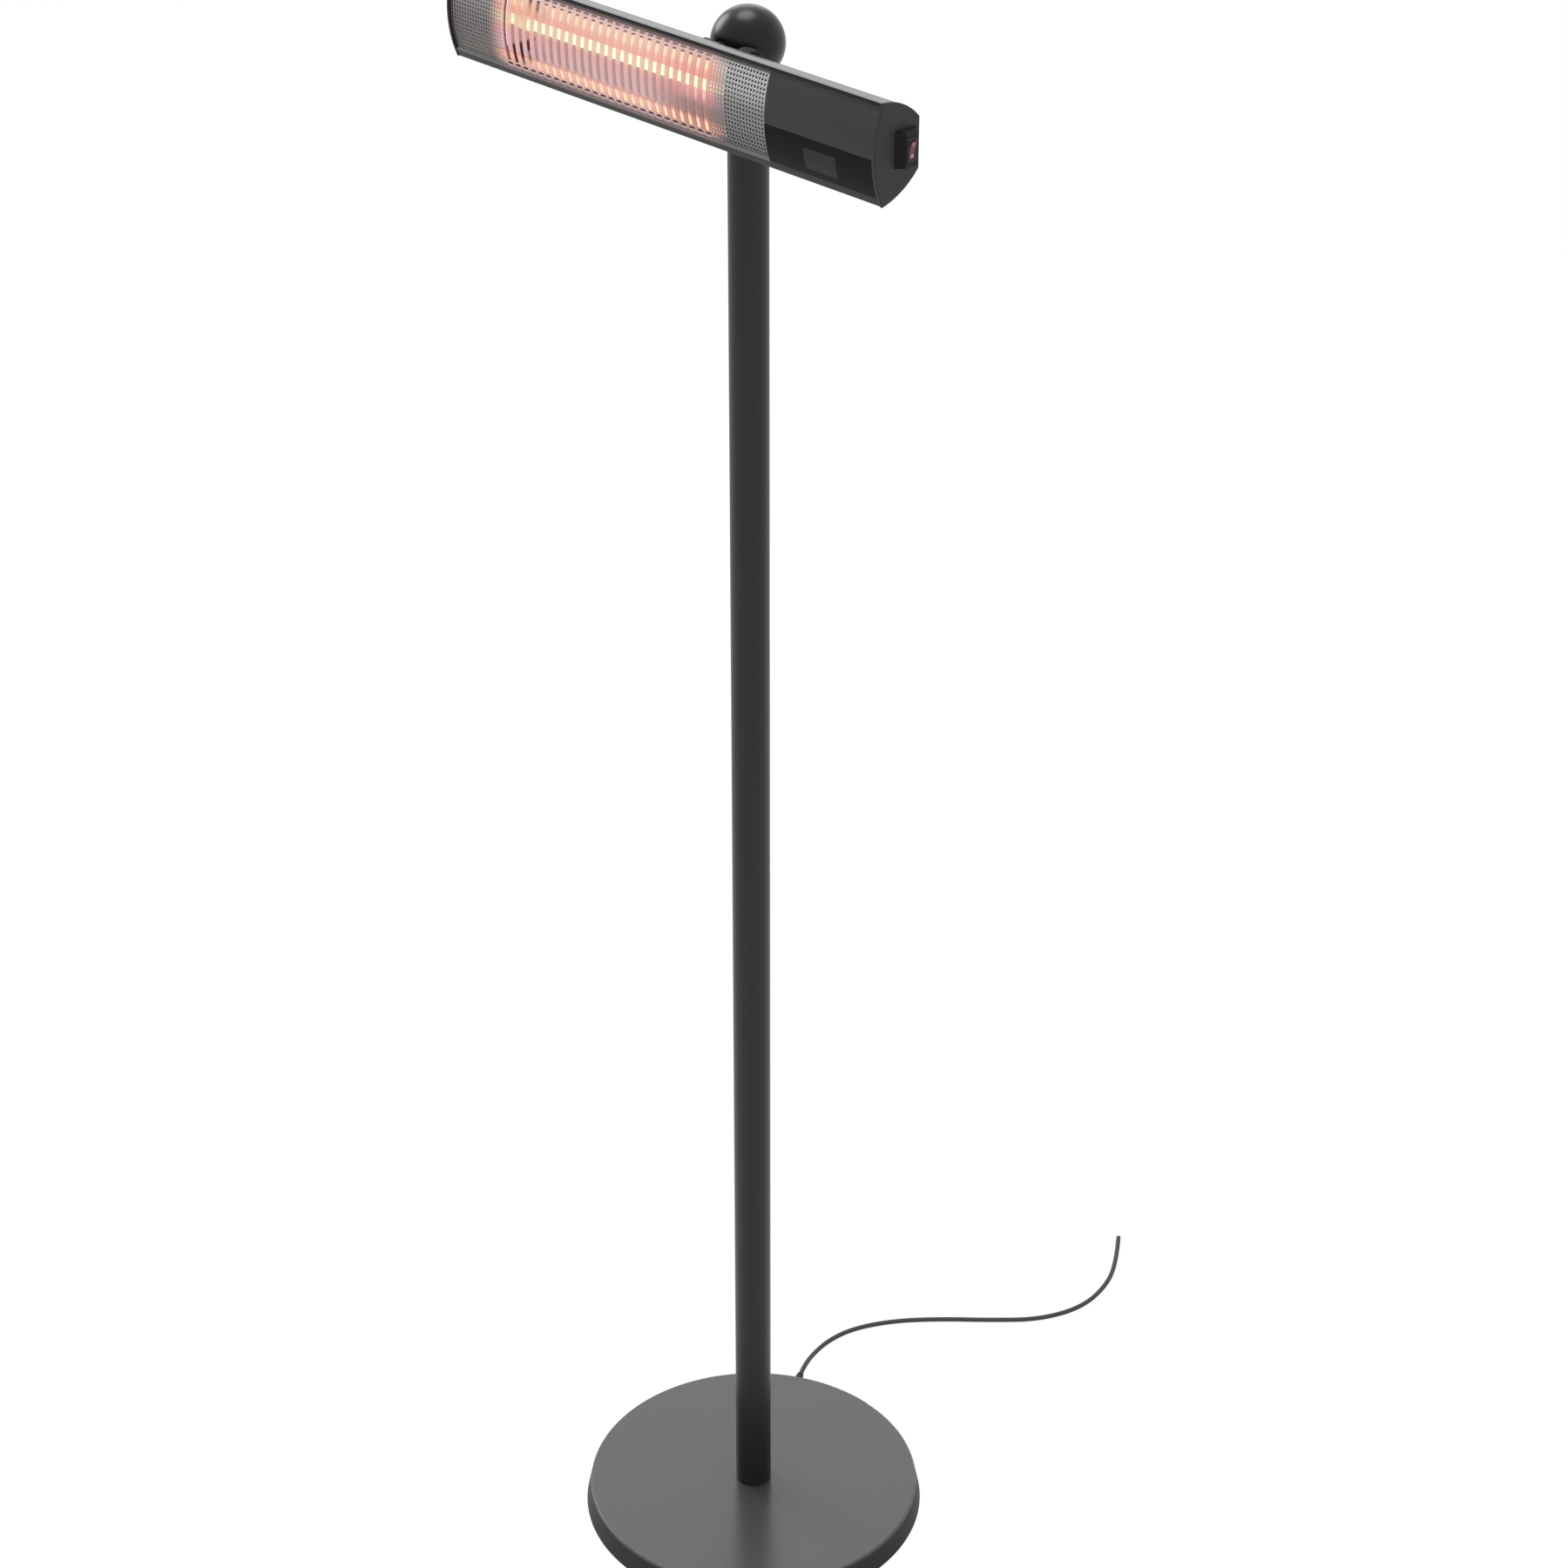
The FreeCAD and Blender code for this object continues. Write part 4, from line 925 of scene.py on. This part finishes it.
trough_right_glow = (
    (-0.0430, (0.950, 0.580, 0.400)),
    (-0.0385, (0.930, 0.550, 0.370)),
    (-0.0360, (0.400, 0.150, 0.130)),
    (-0.0330, (0.190, 0.110, 0.110)),
    (-0.0270, (0.200, 0.120, 0.120)),
    (-0.0200, (0.620, 0.420, 0.420)),
    (-0.0100, (0.720, 0.480, 0.440)),
    (-0.0020, (0.640, 0.260, 0.190)),
    (0.0070, (0.660, 0.300, 0.210)),
    (0.0105, (0.880, 0.600, 0.420)),
    (0.0215, (0.880, 0.600, 0.420)),
    (0.0240, (0.120, 0.060, 0.060)),
    (0.0430, (0.030, 0.020, 0.022)),
)
trough_left_fade = (-0.212, -0.236)
trough_right_fade = (-0.016, 0.034)
# Above the upper band the trough takes a dark colour: painted shade.
trough_painted_shade_above = (0.0215, 0.0240)
trough_tints = ((0.22, 0.18, 0.17), (0.30, 0.25, 0.23))
trough_painted_shade = (0.02, 0.012, 0.012)
trough_roughness = (0.20, 0.32)


def trough_mirror():
    """Dull mirror with bands of light by height, which change towards both ends."""
    finish = Finish("trough_mirror")
    x, _, z = finish.axes()
    height = z - head_height
    streak = finish.streaks(along_head, 4.0)
    steel = finish.mix(streak, *trough_tints)
    glow = finish.mix(finish.step(x, *trough_right_fade),
                      finish.ramp(height, trough_glow), finish.ramp(height, trough_right_glow))
    return finish.surface({
        "Base Color": finish.mix(finish.step(height, *trough_painted_shade_above), steel, trough_painted_shade),
        "Metallic": 1.0,
        "Roughness": finish.spread(streak, *trough_roughness),
        "Emission Color": finish.mix(finish.step(x, *trough_left_fade), glow,
                                     finish.ramp(height, trough_left_glow)),
        "Emission Strength": 1.0,
    })


dress(trough_mirror(), "reflector")
print("trough glow has", len(trough_glow), "stops")

# %% [markdown]
# The lamp is a quartz tube with a wound wire inside. In the solids a plain bar stands for the
# wire. It could be wound with a screw modifier, but a helix is a short formula, so its points are
# worked out and joined by one long curve with a round section.

# %% Wound wire
coil_low, coil_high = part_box("heating_filament")
wire_thickness = 0.0007
coil_pitch = 0.0018
points_per_turn = 10


def helix():
    """Points of the winding in the place of the plain bar."""
    middle = (coil_low + coil_high) / 2
    radius = (coil_high.z - coil_low.z - wire_thickness) / 2
    turns = int((coil_high.x - coil_low.x - wire_thickness) / coil_pitch)
    start = middle.x - turns * coil_pitch / 2
    angles = [math.tau * index / points_per_turn for index in range(turns * points_per_turn + 1)]
    return [(start + coil_pitch * angle / math.tau, middle.y + math.cos(angle) * radius,
             middle.z + math.sin(angle) * radius) for angle in angles]


winding = helix()
lamp_wire = round_curve("lamp_wire", "POLY", winding, wire_thickness, section_steps=1)
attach(lamp_wire, "head")
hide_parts("heating_filament")
print("lamp wire of", len(winding) // points_per_turn, "turns")

# %% [markdown]
# The lit quartz is a milky pale yellow, so it glows itself and lets only part of the wire show.
# The ceramic ends do not glow, but the tube lights the left one, and its light stands in for that.
# The right one lies in the dark behind the mesh.

# %% Lit quartz, wire and ceramic ends
pale_quartz = ((0.85, 0.80, 0.72), (0.92, 0.88, 0.82))
quartz_roughness = (0.15, 0.3)
ceramic_tints = ((0.62, 0.58, 0.52), (0.72, 0.68, 0.62))
ceramic_roughness = (0.5, 0.7)
ceramic_light = (0.62, 0.46, 0.31)
ceramic_dark_beyond = (0.0, 0.05)
ceramic_ripple = 200.0
lamp_shine = 0.2


def glowing(name, dim, bright, ripple_scale, cover):
    """Lit surface whose glow ripples between two colours. Cover below one lets its inside show."""
    finish = Finish(name)
    ripple = finish.noise(ripple_scale)
    return finish.surface({
        "Base Color": finish.mix(ripple, *pale_quartz),
        "Roughness": finish.spread(ripple, *quartz_roughness),
        "Specular IOR Level": lamp_shine,
        "Emission Color": finish.mix(ripple, dim, bright),
        "Emission Strength": 1.0,
        "Alpha": cover,
    })


def lit_ceramic():
    """Ceramic ends of the tube: the left one is lit by it, the right one lies in the dark."""
    finish = Finish("lit_ceramic")
    ripple = finish.noise(ceramic_ripple)
    in_dark = finish.step(finish.axes()[0], *ceramic_dark_beyond)
    return finish.surface({
        "Base Color": finish.mix(ripple, *ceramic_tints),
        "Roughness": finish.spread(ripple, *ceramic_roughness),
        "Specular IOR Level": lamp_shine,
        "Emission Color": finish.mix(in_dark, ceramic_light, black),
        "Emission Strength": 1.0,
    })


quartz_glow = glowing("quartz_glow", (0.81, 0.62, 0.39), (0.85, 0.66, 0.43), 60.0, cover=0.90)
wire_glow = glowing("wire_glow", (0.90, 0.70, 0.42), (0.95, 0.78, 0.50), 300.0, cover=1.0)
dress(quartz_glow, "quartz_tube")
dress(lit_ceramic(), "lamp_ceramics")
lamp_wire.data.materials.append(wire_glow)
print("lamp finishes", quartz_glow.name, wire_glow.name)

# %% [markdown]
# The rocker carries the two plain marks of every mains switch: a bar and a ring. They are printed
# on the real one. Printed ink has almost no height, so each mark is a thin raised patch that rides
# on the rocker's tilted face.

# %% Marks on the rocker
pivot = Vector((0.3474, -0.1010, 2.0115))
rest_tilt = math.radians(9.0)
face_middle = 0.0014
face_end = 0.0026
face_half_length = 0.0095
ink_height = 0.00008
mark_at = 0.0064
bar_size = (0.0009, 0.0036)
ring_radii = (0.0012, 0.0020)
ring_steps = 28
ink_white = moulded("ink_white", (0.62, 0.60, 0.60), (0.72, 0.70, 0.70), (0.4, 0.5), 0.00001)


def on_rocker(across, up, lift):
    """Point on the rocker's dipped face, from its place across the face and up it."""
    out = face_middle + (face_end - face_middle) * abs(up) / face_half_length + lift
    return pivot + Matrix.Rotation(rest_tilt, 3, "Y") @ Vector((out, across, up))


def ink_patch(name, outlines):
    """Thin patch from rings of (across, up) corners: one outline, or an outer and an inner one."""
    made = bmesh.new()
    levels = [[[made.verts.new(on_rocker(*corner, lift)) for corner in outline]
               for outline in outlines] for lift in (0.0, ink_height)]

    def join(first, second):
        for index in range(len(first)):
            after = (index + 1) % len(first)
            made.faces.new((first[index], first[after], second[after], second[index]))

    for low_ring, high_ring in zip(*levels):
        join(low_ring, high_ring)
    for rings in levels:
        if len(rings) == 1:
            made.faces.new(rings[0])
        else:
            join(*rings)
    bmesh.ops.recalc_face_normals(made, faces=made.faces)
    data = bpy.data.meshes.new(name)
    made.to_mesh(data)
    made.free()
    mark = add_object(name, data)
    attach(mark, "rocker")
    mark.data.materials.append(ink_white)
    return mark


def bar(width, height):
    """Corners of the bar, in the upper half of the face."""
    sides = ((-1, -1), (1, -1), (1, 1), (-1, 1))
    return [(across * width / 2, mark_at + up * height / 2) for across, up in sides]


def circle(radius):
    """Corners of a circle, in the lower half of the face."""
    angles = [math.tau * index / ring_steps for index in range(ring_steps)]
    return [(math.cos(angle) * radius, math.sin(angle) * radius - mark_at) for angle in angles]


bar_mark = ink_patch("rocker_mark_bar", [bar(*bar_size)])
ring_mark = ink_patch("rocker_mark_ring", [circle(ring_radii[1]), circle(ring_radii[0])])
print("marks", bar_mark.name, ring_mark.name)
